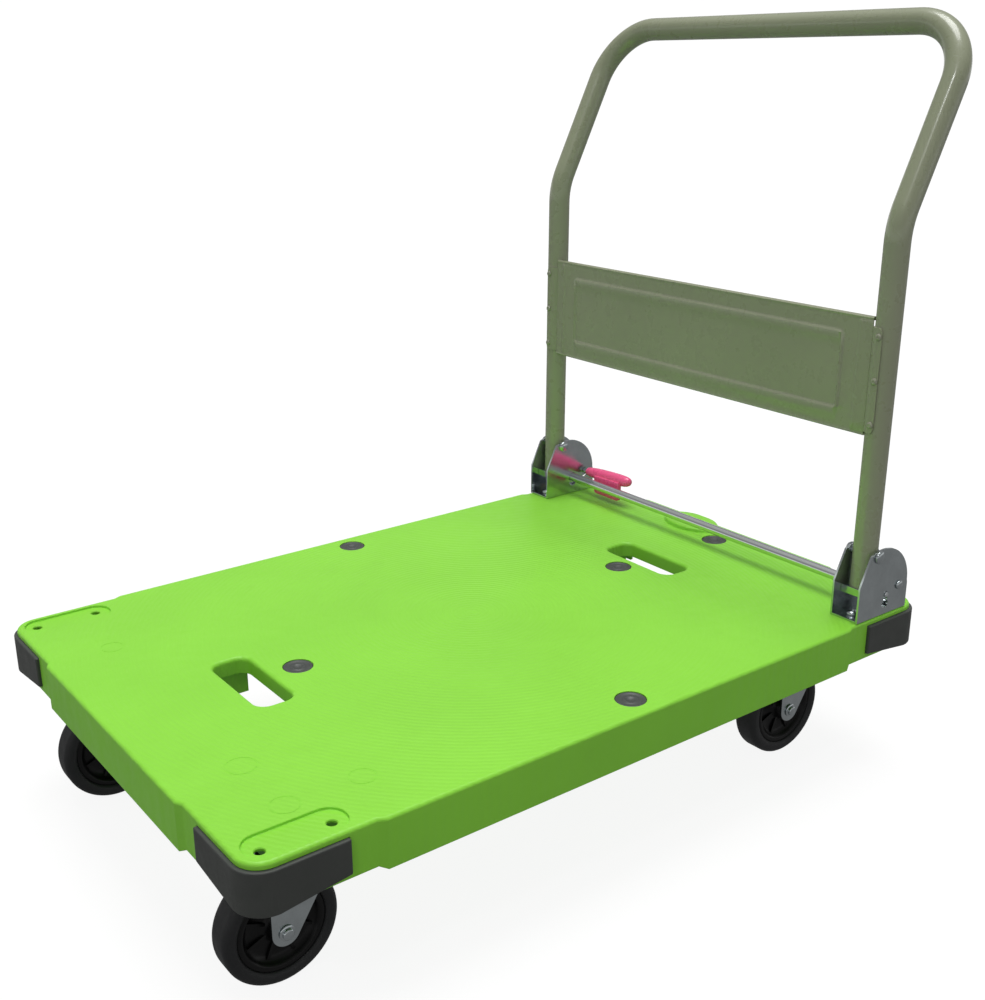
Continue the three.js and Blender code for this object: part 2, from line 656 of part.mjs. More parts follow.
function tubeRoute() {
  const side = (sign) => [
    new THREE.Vector3(LEG_X, sign * LEG_Y, LEG_END_Z),
    new THREE.Vector3(LEG_X, sign * LEG_Y, DECK_TOP + LEAN_START),
    new THREE.Vector3(TOP_BAR_X, sign * LEG_Y, DECK_TOP + HANDLE_TOP),
  ];
  const corners = [...side(-1), ...side(1).reverse()];
  return new BentRoute(corners, [LEAN_RADIUS, TOP_RADIUS, TOP_RADIUS, LEAN_RADIUS]);
}

function ringShape(outer, inner, sides) {
  const around = (radius) => Array.from({ length: sides }, (_, i) => {
    const angle = (2 * Math.PI * (i + 0.5)) / sides;
    return new THREE.Vector2(radius * Math.cos(angle), radius * Math.sin(angle));
  });
  const shape = new THREE.Shape(around(outer));
  shape.holes.push(new THREE.Path(around(inner)));
  return shape;
}

const RIVET_PLACES = [1, -1].flatMap((side) => [1, 0, -1].map((row) => ({
  name: `rivet_${side > 0 ? 'left' : 'right'}_${['lower', 'middle', 'upper'][row + 1]}`,
  y: side * LEG_Y,
  z: DECK_TOP + (WRAP_BOTTOM + WRAP_TOP) / 2 + row * RIVET_SPACING,
})));
const WRAP_OUTER = TUBE_RADIUS + GAP + PANEL_SHEET;

function rivetHole({ y, z }) {
  const front = new THREE.Vector3(LEG_X - WRAP_OUTER - PAST, y, z);
  const back = new THREE.Vector3(LEG_X - TUBE_RADIUS / 2, y, z);
  return rod(RIVET_SHANK_RADIUS + GAP, front, back, 8);
}

function handleTube() {
  const route = tubeRoute();
  const geometry = new THREE.ExtrudeGeometry(ringShape(TUBE_RADIUS, TUBE_RADIUS - TUBE_WALL, 16), {
    steps: route.stations.length - 1,
    extrudePath: route,
  });
  const pivotHoles = [1, -1].map((side) => {
    const across = [side * LEG_Y - 2 * TUBE_RADIUS, side * LEG_Y + 2 * TUBE_RADIUS];
    return crossRod(PIVOT_RADIUS + RUNNING_GAP, LEG_X, PIVOT_Z, ...across);
  });
  return cut(solidOf(geometry), [...pivotHoles, ...RIVET_PLACES.map(rivetHole)]);
}

// Side flange of the panel: from the panel's plane round the front of its leg.
function panelWrap(side) {
  const shape = new THREE.Shape();
  const [inner, outer] = [TUBE_RADIUS + GAP, WRAP_OUTER];
  const towards = (angle) => -side * (angle + Math.PI / 2);
  const start = towards(Math.asin((PANEL_FORWARD - PANEL_SHEET / 2) / inner));
  const end = towards(THREE.MathUtils.degToRad(WRAP_ANGLE));
  shape.absarc(LEG_X, side * LEG_Y, outer, start, end, side > 0);
  shape.absarc(LEG_X, side * LEG_Y, inner, end, start, side < 0);
  shape.closePath();
  return prism(shape, DECK_TOP + WRAP_BOTTOM, DECK_TOP + WRAP_TOP);
}

function panelFrameLine(low, high, reach) {
  const shape = new THREE.Shape();
  const ring = (inset) => [
    [-reach + inset, low + inset], [reach - inset, low + inset],
    [reach - inset, high - inset], [-reach + inset, high - inset],
  ].map(([y, z]) => new THREE.Vector2(y, z));
  shape.setFromPoints(ring(0));
  shape.holes.push(new THREE.Path(ring(FRAME_WIDTH)));
  const depth = PANEL_SHEET / 2 + FRAME_PROUD;
  const geometry = new THREE.ExtrudeGeometry(shape, { depth, bevelEnabled: false });
  geometry.rotateX(Math.PI / 2);
  geometry.rotateZ(-Math.PI / 2);
  geometry.translate(LEG_X - PANEL_FORWARD, 0, 0);
  return solidOf(geometry);
}

function handlePanel() {
  const middle = LEG_X - PANEL_FORWARD;
  const half = PANEL_SHEET / 2;
  const reach = LEG_Y - Math.sqrt((TUBE_RADIUS + GAP + half) ** 2 - (PANEL_FORWARD - half) ** 2);
  const [low, high] = [DECK_TOP + PANEL_BOTTOM, DECK_TOP + PANEL_TOP];
  const hemX = [middle - half, middle - half + PANEL_HEM_DEPTH];
  const hemReach = LEG_Y - TUBE_RADIUS - 2 * GAP;
  const hem = (from) => box(hemX, [-hemReach, hemReach], [from, from + PANEL_HEM]);
  const sheet = box([middle - half, middle + half], [-reach, reach], [low, high]);
  const frame = panelFrameLine(low + FRAME_MARGIN, high - FRAME_MARGIN, LEG_Y - TUBE_RADIUS - FRAME_INSET);
  const whole = joined([sheet, hem(low), hem(high - PANEL_HEM), frame, panelWrap(1), panelWrap(-1)]);
  return cut(whole, RIVET_PLACES.map(rivetHole));
}

// Turned about Y first, then laid along X with the head to the front.
function rivet() {
  const seat = WRAP_OUTER + GAP;
  const geometry = new THREE.LatheGeometry([
    new THREE.Vector2(0, TUBE_RADIUS - TUBE_WALL - 2),
    new THREE.Vector2(RIVET_SHANK_RADIUS, TUBE_RADIUS - TUBE_WALL - 2),
    new THREE.Vector2(RIVET_SHANK_RADIUS, seat),
    new THREE.Vector2(RIVET_HEAD_RADIUS, seat),
    new THREE.Vector2(RIVET_HEAD_RADIUS * 0.7, seat + RIVET_HEAD * 0.75),
    new THREE.Vector2(0, seat + RIVET_HEAD),
  ], 12);
  geometry.rotateZ(Math.PI / 2);
  return solidOf(geometry);
}

// ---- Hinge brackets -----------------------------------------------------------------------------

function bracketOutline() {
  const shape = new THREE.Shape();
  const bottom = DECK_TOP + GAP;
  shape.moveTo(LEG_X - BRACKET_FRONT, bottom);
  shape.lineTo(LEG_X + BRACKET_REAR, bottom);
  const centre = [LEG_X + BRACKET_ARC_X, DECK_TOP + BRACKET_ARC_HEIGHT];
  const reach = BRACKET_REAR - BRACKET_ARC_X;
  const start = Math.acos(reach / Math.max(BRACKET_ARC_RADIUS, reach));
  shape.absarc(...centre, BRACKET_ARC_RADIUS, start, THREE.MathUtils.degToRad(BRACKET_ARC_START));
  shape.lineTo(LEG_X - BRACKET_FRONT, DECK_TOP + BRACKET_SHOULDER);
  shape.closePath();
  return shape;
}

// An upright slot for a round bar that sinks by the lock's travel.
function slotCutter(radius, x, z, low, high) {
  const grown = radius + ROD_SLOT_GAP;
  const shape = new THREE.Shape();
  shape.absarc(x, z, grown, 0, Math.PI);
  shape.absarc(x, z - ROD_TRAVEL, grown, Math.PI, 2 * Math.PI);
  shape.closePath();
  return sidePrism(shape, low, high);
}

function bracket(side) {
  const facing = (near, far) => (side > 0 ? [near, far] : [-far, -near]);
  const inner = facing(LEG_Y - PLATE_OUTER, LEG_Y - PLATE_INNER);
  const outer = facing(LEG_Y + PLATE_INNER, LEG_Y + PLATE_OUTER);
  const across = facing(LEG_Y - PLATE_OUTER, LEG_Y + PLATE_OUTER);
  const past = facing(LEG_Y - PLATE_OUTER - PAST, LEG_Y + PLATE_OUTER + PAST);
  const base = box([LEG_X - BRACKET_FRONT, LEG_X + BRACKET_REAR], across, [DECK_TOP + GAP, BRACKET_BASE_TOP]);
  const whole = joined([sidePrism(bracketOutline(), ...inner), sidePrism(bracketOutline(), ...outer), base]);
  const middle = facing(LEG_Y, LEG_Y);
  const innerHalf = side > 0 ? [past[0], middle[0]] : [middle[0], past[1]];
  const outerHalf = side > 0 ? [middle[0], past[1]] : [past[0], middle[0]];
  return cut(whole, [
    crossRod(PIVOT_RADIUS + GAP, LEG_X, PIVOT_Z, ...past),
    slotCutter(ROD_RADIUS, ROD_X, ROD_Z, ...innerHalf),
    slotCutter(ROD_END_RADIUS, ROD_X, ROD_Z, ...outerHalf),
    side > 0
      ? slotCutter(STUB_RADIUS, STUB_X, STUB_Z, ...innerHalf)
      : crossRod(SPACER_RADIUS + GAP, STUB_X, STUB_Z, ...past),
    ...bracketBoltPlaces().filter((place) => place.side === side).map(bracketBoltHole),
  ]);
}

// Cross strip between the plates, in front of the tilted leg.
function stopStrip(side) {
  const tiltShift = (PIVOT_HEIGHT - STOP_HEIGHT) * Math.tan(HANDLE_TILT);
  const back = LEG_X - TUBE_RADIUS / Math.cos(HANDLE_TILT) - tiltShift - GAP;
  const reach = PLATE_INNER - GAP;
  const y = [side * LEG_Y - reach, side * LEG_Y + reach];
  return box([back - STOP_SHEET, back], y, [DECK_TOP + STOP_HEIGHT, DECK_TOP + STOP_HEIGHT + STOP_WIDTH]);
}

// A pin through both plates of a bracket, with the same head at each end.
function headedPin(radius, headRadius, head) {
  const seat = PLATE_OUTER + GAP;
  const end = [
    [radius, seat],
    [headRadius, seat],
    [headRadius, seat + head * 0.5],
    [headRadius * 0.7, seat + head * 0.9],
    [0, seat + head],
  ];
  const mirrored = end.map(([r, y]) => [r, -y]).reverse();
  return turnedAboutY([...mirrored, ...end], 16);
}

function bracketBolt() {
  return turnedAboutZ([
    [0, DECK_TOP - BRACKET_BOLT_LENGTH + GAP],
    [BRACKET_BOLT_RADIUS, DECK_TOP - BRACKET_BOLT_LENGTH + GAP],
    [BRACKET_BOLT_RADIUS, BRACKET_BASE_TOP + GAP],
    [BRACKET_BOLT_HEAD_RADIUS, BRACKET_BASE_TOP + GAP],
    [BRACKET_BOLT_HEAD_RADIUS, BRACKET_BASE_TOP + GAP + BRACKET_BOLT_HEAD],
    [0, BRACKET_BASE_TOP + GAP + BRACKET_BOLT_HEAD],
  ], 12);
}

// ---- Lock rod and pedal -------------------------------------------------------------------------

function lockRod() {
  const full = LEG_Y + PLATE_INNER - 2 * GAP;
  const end = LEG_Y + PLATE_OUTER + 2;
  const half = [
    [0, end],
    [ROD_END_RADIUS - 0.6, end],
    [ROD_END_RADIUS, end - 0.6],
    [ROD_END_RADIUS, full],
    [ROD_RADIUS, full],
  ];
  const mirrored = half.map(([radius, y]) => [radius, -y]);
  return turnedAboutY([...mirrored, ...half.reverse()], 16);
}

// Short pin that carries the pedal: head against the arm, plain end inside the pedal.
function pedalStub() {
  const end = INBOARD_Y - PEDAL_FROM_BRACKET - PEDAL_BORE_DEPTH + GAP;
  const head = ARM_Y + ARM_SHEET + GAP;
  return turnedAboutY([
    [0, end],
    [STUB_RADIUS, end],
    [STUB_RADIUS, head],
    [STUB_RADIUS * 1.5, head],
    [STUB_RADIUS * 1.5, head + STUB_HEAD],
    [0, head + STUB_HEAD],
  ], 16);
}

// Flat arm inside the left bracket, rounded about the rod and about the stub, that makes the pedal
// and the rod move as one.
function pedalArm() {
  const tilt = Math.atan2(STUB_Z - ROD_Z, STUB_X - ROD_X);
  const shape = new THREE.Shape();
  shape.absarc(STUB_X, STUB_Z, ARM_RADIUS, tilt - Math.PI / 2, tilt + Math.PI / 2);
  shape.absarc(ROD_X, ROD_Z, ARM_RADIUS, tilt + Math.PI / 2, tilt + 1.5 * Math.PI);
  shape.closePath();
  const past = [ARM_Y - PAST, ARM_Y + ARM_SHEET + PAST];
  return cut(sidePrism(shape, ARM_Y, ARM_Y + ARM_SHEET), [
    crossRod(STUB_RADIUS + GAP, STUB_X, STUB_Z, ...past),
    crossRod(ROD_RADIUS + GAP, ROD_X, ROD_Z, ...past),
  ]);
}

// Bullet-shaped grip with a rib under it; its free end is raised.
function releasePedal() {
  const geometry = new THREE.LatheGeometry([
    [0, -PEDAL_LENGTH], [0.45, -PEDAL_LENGTH + 1.2], [0.78, -PEDAL_LENGTH + 5], [0.96, -PEDAL_LENGTH + 13],
    [1, -PEDAL_LENGTH + 26], [1, -PEDAL_LENGTH / 2], [0.9, -12], [PEDAL_NECK_RADIUS / PEDAL_RADIUS, -1],
    [PEDAL_NECK_RADIUS / PEDAL_RADIUS - 0.08, 0], [0, 0],
  ].map(([share, y]) => new THREE.Vector2(share * PEDAL_RADIUS, y)), 20);
  geometry.rotateX(-Math.atan2(PEDAL_RISE, PEDAL_LENGTH));
  const start = INBOARD_Y - PEDAL_FROM_BRACKET;
  geometry.translate(STUB_X, start, STUB_Z);
  const ribMiddle = STUB_X - PEDAL_RIB_FORWARD;
  const rib = box(
    [ribMiddle - PEDAL_RIB_THICKNESS / 2, ribMiddle + PEDAL_RIB_THICKNESS / 2],
    [start - PEDAL_RIB_START - PEDAL_RIB_LENGTH, start - PEDAL_RIB_START],
    [DECK_TOP + PEDAL_RIB_BOTTOM, STUB_Z],
  );
  const bore = crossRod(STUB_RADIUS + GAP, STUB_X, STUB_Z, start - PEDAL_BORE_DEPTH, start + PAST);
  return cut(solidOf(geometry).add(rib), [bore]);
}

// Sleeve that the coils of a lock spring fill, between the bracket's base and the rod.
function springSleeve(side) {
  const low = BRACKET_BASE_TOP + GAP;
  const high = ROD_Z - ROD_RADIUS - GAP;
  const sleeve = uprightRod(SPRING_RADIUS, ROD_X, side * LEG_Y, low, high, 16);
  const bore = uprightRod(SPRING_RADIUS - SPRING_WIRE, ROD_X, side * LEG_Y, low - PAST, high + PAST, 16);
  return cut(sleeve, [bore]);
}

// ---- Casters; each is drawn about its own swivel axis, with its axle towards -X --------------------

function casterPlate() {
  const shape = roundedRectangle(PLATE_LENGTH, PLATE_WIDTH, PLATE_RADIUS);
  const [holeX, holeY] = [PLATE_LENGTH, PLATE_WIDTH].map((side) => side / 2 - PLATE_HOLE_FROM_EDGE);
  const high = CASTER_HEIGHT - GAP;
  const low = high - PLATE_SHEET;
  const holes = [[1, 1], [1, -1], [-1, 1], [-1, -1]].map(([x, y]) => {
    return uprightRod(PLATE_HOLE_RADIUS, x * holeX, y * holeY, low - PAST, high + PAST);
  });
  const race = turnedAboutZ([
    [0, low - RACE_STEP],
    [RACE_RADIUS - 4, low - RACE_STEP],
    [RACE_RADIUS, low - RACE_STEP + 2],
    [RACE_RADIUS, low + PLATE_SHEET / 2],
    [0, low + PLATE_SHEET / 2],
  ], 20);
  const bore = uprightRod(KINGPIN_RADIUS + GAP, 0, 0, low - RACE_STEP - PAST, high + PAST);
  return cut(prism(shape, low, high).add(race), [...holes, bore]);
}

const RACE_BOTTOM = CASTER_HEIGHT - GAP - PLATE_SHEET - RACE_STEP;

function kingpin() {
  const top = CASTER_HEIGHT - 2 * GAP;
  const seat = FORK_TOP - FORK_SHEET - GAP;
  return turnedAboutZ([
    [0, seat - KINGPIN_HEAD],
    [KINGPIN_HEAD_RADIUS * 0.8, seat - KINGPIN_HEAD],
    [KINGPIN_HEAD_RADIUS, seat - KINGPIN_HEAD + 1.5],
    [KINGPIN_HEAD_RADIUS, seat],
    [KINGPIN_RADIUS, seat],
    [KINGPIN_RADIUS, top],
    [0, top],
  ], 16);
}

function forkLeg() {
  const shape = new THREE.Shape();
  const crown = FORK_TOP - FORK_SHEET / 2;
  const front = -CASTER_OFFSET - FORK_END_RADIUS;
  const rear = new THREE.Vector2(FORK_REACH_REAR, crown);
  const axle = new THREE.Vector2(-CASTER_OFFSET, WHEEL_RADIUS);
  const away = rear.clone().sub(axle);
  const tangent = away.angle() - Math.acos(FORK_END_RADIUS / away.length());
  shape.moveTo(rear.x, rear.y);
  shape.lineTo(-FORK_REACH_FRONT, crown);
  shape.lineTo(front, FORK_FRONT_TOP);
  shape.lineTo(front, axle.y);
  shape.absarc(axle.x, axle.y, FORK_END_RADIUS, Math.PI, tangent + 2 * Math.PI);
  shape.closePath();
  return shape;
}

function casterFork() {
  const inner = HUB_LENGTH / 2 + GAP;
  const along = [-FORK_REACH_FRONT, FORK_REACH_REAR];
  const crown = box(along, [-AXLE_HALF, AXLE_HALF], [FORK_TOP - FORK_SHEET, FORK_TOP]);
  const race = turnedAboutZ([
    [0, FORK_TOP - FORK_SHEET / 2],
    [RACE_RADIUS + 3, FORK_TOP - FORK_SHEET / 2],
    [RACE_RADIUS + 3, RACE_BOTTOM - GAP - 3],
    [RACE_RADIUS, RACE_BOTTOM - GAP],
    [0, RACE_BOTTOM - GAP],
  ], 20);
  const legs = [sidePrism(forkLeg(), inner, AXLE_HALF), sidePrism(forkLeg(), -AXLE_HALF, -inner)];
  return cut(joined([crown, race, ...legs]), [
    uprightRod(KINGPIN_RADIUS + RUNNING_GAP, 0, 0, FORK_TOP - FORK_SHEET - PAST, RACE_BOTTOM + PAST),
    crossRod(AXLE_RADIUS + GAP, -CASTER_OFFSET, WHEEL_RADIUS, -AXLE_HALF - PAST, AXLE_HALF + PAST),
  ]);
}

// Wheel pieces are turned about the axle.
function axle() {
  const seat = AXLE_HALF + GAP;
  const end = [
    [AXLE_RADIUS, seat], [AXLE_HEAD_RADIUS, seat], [AXLE_HEAD_RADIUS, seat + AXLE_HEAD - 1],
    [AXLE_HEAD_RADIUS - 1.5, seat + AXLE_HEAD], [0, seat + AXLE_HEAD],
  ];
  const mirrored = end.map(([radius, y]) => [radius, -y]).reverse();
  return turnedAboutY([...mirrored, ...end], 12);
}

function hub() {
  const bore = AXLE_RADIUS + RUNNING_GAP;
  const rim = WHEEL_RADIUS - TYRE_DEPTH - GAP;
  const [end, web, side] = [HUB_LENGTH / 2, HUB_WEB / 2, HUB_RIM_WIDTH / 2];
  const half = [
    [bore, end], [HUB_RADIUS, end], [HUB_RADIUS + 3, web], [rim - HUB_RIM - 3, web],
    [rim - HUB_RIM, side], [rim, side],
  ];
  const below = half.map(([radius, y]) => [radius, -y]);
  return turnedAboutY([...below, ...half.reverse(), [bore, -end]], 24);
}

function tyre() {
  const inner = WHEEL_RADIUS - TYRE_DEPTH;
  const [half, shoulder] = [TYRE_WIDTH / 2, TYRE_SHOULDER];
  const side = HUB_RIM_WIDTH / 2;
  const profile = [[inner, -side], [inner + 3, -half]];
  for (const [sign, from, to] of [[-1, 0, 2], [1, 2, 0]]) {
    const step = from < to ? 1 : -1;
    for (let i = from; i !== to + step; i += step) {
      const angle = (i / 2) * (Math.PI / 2);
      const radius = WHEEL_RADIUS - shoulder + shoulder * Math.sin(angle);
      profile.push([radius, sign * (half - shoulder + shoulder * Math.cos(angle))]);
    }
  }
  profile.push([inner + 3, half], [inner, side], [inner, -side]);
  return turnedAboutY(profile, 32);
}

// ---- Assembly -----------------------------------------------------------------------------------

const cart = new THREE.Group();
cart.position.x = -BOX_MIDDLE_X;

function place(mesh, x = 0, y = 0, z = 0, parent = cart) {
  mesh.position.set(x, y, z);
  parent.add(mesh);
  return mesh;
}

place(meshOf('deck', deck(), limePlastic));
for (const corner of CORNERS) {
  place(meshOf(`bumper_${corner.name}`, bumperSolid(corner, 0), greyRubber));
}
for (const { name, x, y } of PLUG_PLACES) {
  place(meshOf(name, plug(), darkPlastic), x, y, DECK_TOP);
}

// The handle's pieces are drawn upright, and the whole of it is tilted about its pivot.
const tilted = new THREE.Group();
tilted.position.set(LEG_X, 0, PIVOT_Z);
tilted.rotation.y = HANDLE_TILT;
cart.add(tilted);
const handle = new THREE.Group();
handle.position.set(-LEG_X, 0, -PIVOT_Z);
tilted.add(handle);
place(meshOf('handle_tube', handleTube(), olivePaint), 0, 0, 0, handle);
place(meshOf('handle_panel', handlePanel(), olivePaint), 0, 0, 0, handle);
for (const { name, y, z } of RIVET_PLACES) {
  place(meshOf(name, rivet(), zincPlate), LEG_X, y, z, handle);
}

for (const [label, side] of [['left', 1], ['right', -1]]) {
  place(meshOf(`hinge_bracket_${label}`, bracket(side), zincPlate));
  place(meshOf(`stop_strip_${label}`, stopStrip(side), zincPlate));
  const pivotBolt = headedPin(PIVOT_RADIUS, PIVOT_HEAD_RADIUS, PIVOT_HEAD);
  place(meshOf(`pivot_bolt_${label}`, pivotBolt, zincPlate), LEG_X, side * LEG_Y, PIVOT_Z);
  place(meshOf(`lock_spring_${label}`, springSleeve(side), springSteel));
}
const spacerPin = headedPin(SPACER_RADIUS, SPACER_HEAD_RADIUS, SPACER_HEAD);
place(meshOf('spacer_pin', spacerPin, zincPlate), STUB_X, -LEG_Y, STUB_Z);
for (const { x, y, side, end } of bracketBoltPlaces()) {
  const name = `bracket_bolt_${side > 0 ? 'left' : 'right'}_${end}`;
  place(meshOf(name, bracketBolt(), zincPlate), x, y);
}

place(meshOf('lock_rod', lockRod(), chromeRod), ROD_X, 0, ROD_Z);
place(meshOf('pedal_stub', pedalStub(), zincPlate), STUB_X, 0, STUB_Z);
place(meshOf('pedal_arm', pedalArm(), zincPlate));
place(meshOf('release_pedal', releasePedal(), pinkPlastic));

for (const corner of CORNERS) {
  const caster = new THREE.Group();
  caster.position.set(corner.x * CASTER_X, corner.y * CASTER_Y, 0);
  cart.add(caster);
  const wheel = new THREE.Group();
  wheel.position.set(-CASTER_OFFSET, 0, WHEEL_RADIUS);
  caster.add(wheel);
  place(meshOf(`caster_plate_${corner.name}`, casterPlate(), zincPlate), 0, 0, 0, caster);
  place(meshOf(`kingpin_${corner.name}`, kingpin(), zincPlate), 0, 0, 0, caster);
  place(meshOf(`caster_fork_${corner.name}`, casterFork(), zincPlate), 0, 0, 0, caster);
  place(meshOf(`axle_${corner.name}`, axle(), zincPlate), 0, 0, 0, wheel);
  place(meshOf(`wheel_hub_${corner.name}`, hub(), blackPlastic), 0, 0, 0, wheel);
  place(meshOf(`tyre_${corner.name}`, tyre(), tyreRubber), 0, 0, 0, wheel);
}

export default cart;
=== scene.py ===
"""Folding platform cart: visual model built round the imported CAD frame."""

import math

import bmesh
import bpy
from mathutils import Matrix, Vector


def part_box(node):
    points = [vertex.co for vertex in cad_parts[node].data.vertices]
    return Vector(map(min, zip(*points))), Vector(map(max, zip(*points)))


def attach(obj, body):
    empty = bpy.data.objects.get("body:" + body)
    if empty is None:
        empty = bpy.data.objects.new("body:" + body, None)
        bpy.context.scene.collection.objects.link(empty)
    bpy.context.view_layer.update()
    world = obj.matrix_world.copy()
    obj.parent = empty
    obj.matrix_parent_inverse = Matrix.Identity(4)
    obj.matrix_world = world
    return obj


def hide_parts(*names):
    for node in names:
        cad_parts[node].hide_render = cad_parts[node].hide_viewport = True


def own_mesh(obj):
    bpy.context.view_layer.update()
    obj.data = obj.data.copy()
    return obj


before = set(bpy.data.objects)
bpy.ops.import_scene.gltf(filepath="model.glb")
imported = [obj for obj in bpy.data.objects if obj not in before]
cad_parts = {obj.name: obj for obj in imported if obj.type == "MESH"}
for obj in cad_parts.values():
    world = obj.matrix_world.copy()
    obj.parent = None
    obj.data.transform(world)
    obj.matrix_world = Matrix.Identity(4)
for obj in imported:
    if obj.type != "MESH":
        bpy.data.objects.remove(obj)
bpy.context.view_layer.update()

# ---- Sizes in millimetres, in the deck's own frame: x 0 at the deck's middle, z 0 on the floor -----

DECK_LO, DECK_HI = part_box("deck")
HALF_LENGTH = 449.0
HALF_WIDTH = 305.0
DECK_TOP = 198.0
MIDDLE_X = (DECK_LO.x + DECK_HI.x) / 2  # deck's middle in the row frame, metres
LEG_X = HALF_LENGTH - 90
LEG_Y = HALF_WIDTH - 24
TUBE_R = 14.3
PIVOT_Z = DECK_TOP + 76
ROD_X, ROD_Z = LEG_X + 20, DECK_TOP + 25
ROD_TRAVEL = 6.0
STUB_X, STUB_Z = LEG_X + 43, DECK_TOP + 31.5
CASTER_X, CASTER_Y = HALF_LENGTH - 102.5, HALF_WIDTH - 102
TRAIL = 30.0
WHEEL_R = 59.5
CORNER_R = 30.0
SKIRT_LOW = 149  # lower edge of the deck's skirt
SKIN_LOW = 192.5  # where pieces under the deck meet its skin
GUARD_DEPTH = 7  # thickness of a corner bumper
GUARD_ARM = 100  # from the corner to the end of a bumper's arm
PEDAL_LENGTH, PEDAL_RISE = 91.0, 5.0
CASTER_TOP = 159.7  # upper face of a caster's plate
FORK_TOP = 141.0
FORK_IN, FORK_OUT = 18.3, 21.5  # inner and outer faces of a fork leg
PANEL_LOW, PANEL_HIGH = DECK_TOP + 216, DECK_TOP + 350
HANDLE_TILT = math.radians(0.57)
HAND_HOLES = (161 - HALF_LENGTH, HALF_LENGTH - 166.5)
CORNERS = [("front_right", -1, -1), ("front_left", -1, 1), ("rear_right", 1, -1), ("rear_left", 1, 1)]
SIDES = [("left", 1), ("right", -1)]


def row(p):
    return Vector((MIDDLE_X + p[0] / 1000, p[1] / 1000, p[2] / 1000))


def tilted(made):
    """Lean a piece of the handle, drawn upright, back about its pivot."""
    pivot = row((LEG_X, 0, PIVOT_Z))
    turn = Matrix.Rotation(HANDLE_TILT, 4, "Y")
    made.data.transform(Matrix.Translation(pivot) @ turn @ Matrix.Translation(-pivot))
    return made


# ---- Node materials ------------------------------------------------------------------------------


class Look:
    """A Principled material whose colour, roughness and normal are varied by procedural noise."""

    def __init__(self, name, metallic=0.0, coat=0.0, specular=0.5):
        self.mat = bpy.data.materials.new(name)
        self.mat.use_nodes = True
        self.nodes = self.mat.node_tree.nodes
        self.links = self.mat.node_tree.links
        self.bsdf = self.nodes["Principled BSDF"]
        self.bsdf.inputs["Metallic"].default_value = metallic
        self.bsdf.inputs["Coat Weight"].default_value = coat
        self.bsdf.inputs["Coat Roughness"].default_value = 0.12
        self.bsdf.inputs["Specular IOR Level"].default_value = specular
        self.coord = self.nodes.new("ShaderNodeTexCoord")
        self.normal = None

    def node(self, kind, **inputs):
        made = self.nodes.new(kind)
        for key, value in inputs.items():
            made.inputs[key.replace("_", " ")].default_value = value
        return made

    def noise(self, scale, detail=4.0, stretch=None, roughness=0.55):
        made = self.node("ShaderNodeTexNoise", Scale=scale, Detail=detail, Roughness=roughness)
        source = self.coord.outputs["Object"]
        if stretch:
            mapping = self.node("ShaderNodeMapping", Scale=stretch)
            self.links.new(source, mapping.inputs["Vector"])
            source = mapping.outputs["Vector"]
        self.links.new(source, made.inputs["Vector"])
        return made.outputs["Fac"]

    def ramp(self, fac, stops):
        made = self.nodes.new("ShaderNodeValToRGB")
        ends = made.color_ramp.elements
        while len(ends) < len(stops):
            ends.new(0.5)
        for end, (position, colour) in zip(ends, stops):
            end.position = position
            end.color = (*colour, 1)
        self.links.new(fac, made.inputs["Fac"])
        return made.outputs["Color"]

    def spread(self, fac, low, high, start=0.3, end=0.7):
        made = self.node("ShaderNodeMapRange")
        for key, value in (("From Min", start), ("From Max", end), ("To Min", low), ("To Max", high)):
            made.inputs[key].default_value = value
        self.links.new(fac, made.inputs["Value"])
        return made.outputs["Result"]

    def mix(self, fac, a, b):
        made = self.nodes.new("ShaderNodeMix")
        made.data_type = "RGBA"
        sockets = [s for s in made.inputs if s.type == "RGBA"]
        for socket, value in ((made.inputs["Factor"], fac), (sockets[0], a), (sockets[1], b)):
            if hasattr(value, "is_output"):
                self.links.new(value, socket)
            else:
                socket.default_value = value
        return [s for s in made.outputs if s.type == "RGBA"][0]

    def colour(self, out):
        self.links.new(out, self.bsdf.inputs["Base Color"])

    def rough(self, out):
        self.links.new(out, self.bsdf.inputs["Roughness"])

    def bump(self, height, strength, distance):
        made = self.node("ShaderNodeBump", Strength=strength, Distance=distance)
        self.links.new(height, made.inputs["Height"])
        if self.normal:
            self.links.new(self.normal, made.inputs["Normal"])
        self.normal = made.outputs["Normal"]
        self.links.new(self.normal, self.bsdf.inputs["Normal"])


def lin(r, g, b):
    """sRGB 0-255 to linear."""
    return tuple(((c / 255 + 0.055) / 1.055) ** 2.4 if c > 10 else c / 255 / 12.92 for c in (r, g, b))


def shade(colour, k):
    return tuple(min(1.0, c * k) for c in colour)


def moulded(name, colour, rough=(0.38, 0.5), vary=0.06, grain=900.0, bump=0.12, coat=0.0, specular=0.5,
    dirt=0.0):
    look = Look(name, coat=coat, specular=specular)
    broad = look.noise(6.0, 3.0)
    out = look.ramp(broad, [(0.3, shade(colour, 1 - vary)), (0.7, shade(colour, 1 + vary))])
    if dirt:
        spots = look.spread(look.noise(38.0, 6.0, roughness=0.7), 0.0, dirt, 0.58, 0.78)
        out = look.mix(spots, out, (*shade(colour, 0.6), 1))
    look.colour(out)
    look.rough(look.spread(look.noise(55.0, 5.0), *rough))
    look.bump(look.noise(grain, 3.0), bump, 0.0004)
    return look


def metal(name, colour, rough=(0.22, 0.36), stretch=None, grain=700.0, bump=0.08, metallic=1.0, dark=0.75):
    look = Look(name, metallic=metallic)
    patches = look.noise(45.0, 5.0, stretch)
    look.colour(look.ramp(patches, [(0.3, shade(colour, dark)), (0.62, colour),
        (0.8, shade(colour, 1.08))]))
    look.rough(look.spread(look.noise(120.0, 4.0, stretch), *rough))
    look.bump(look.noise(grain, 3.0, stretch), bump, 0.0003)
    return look


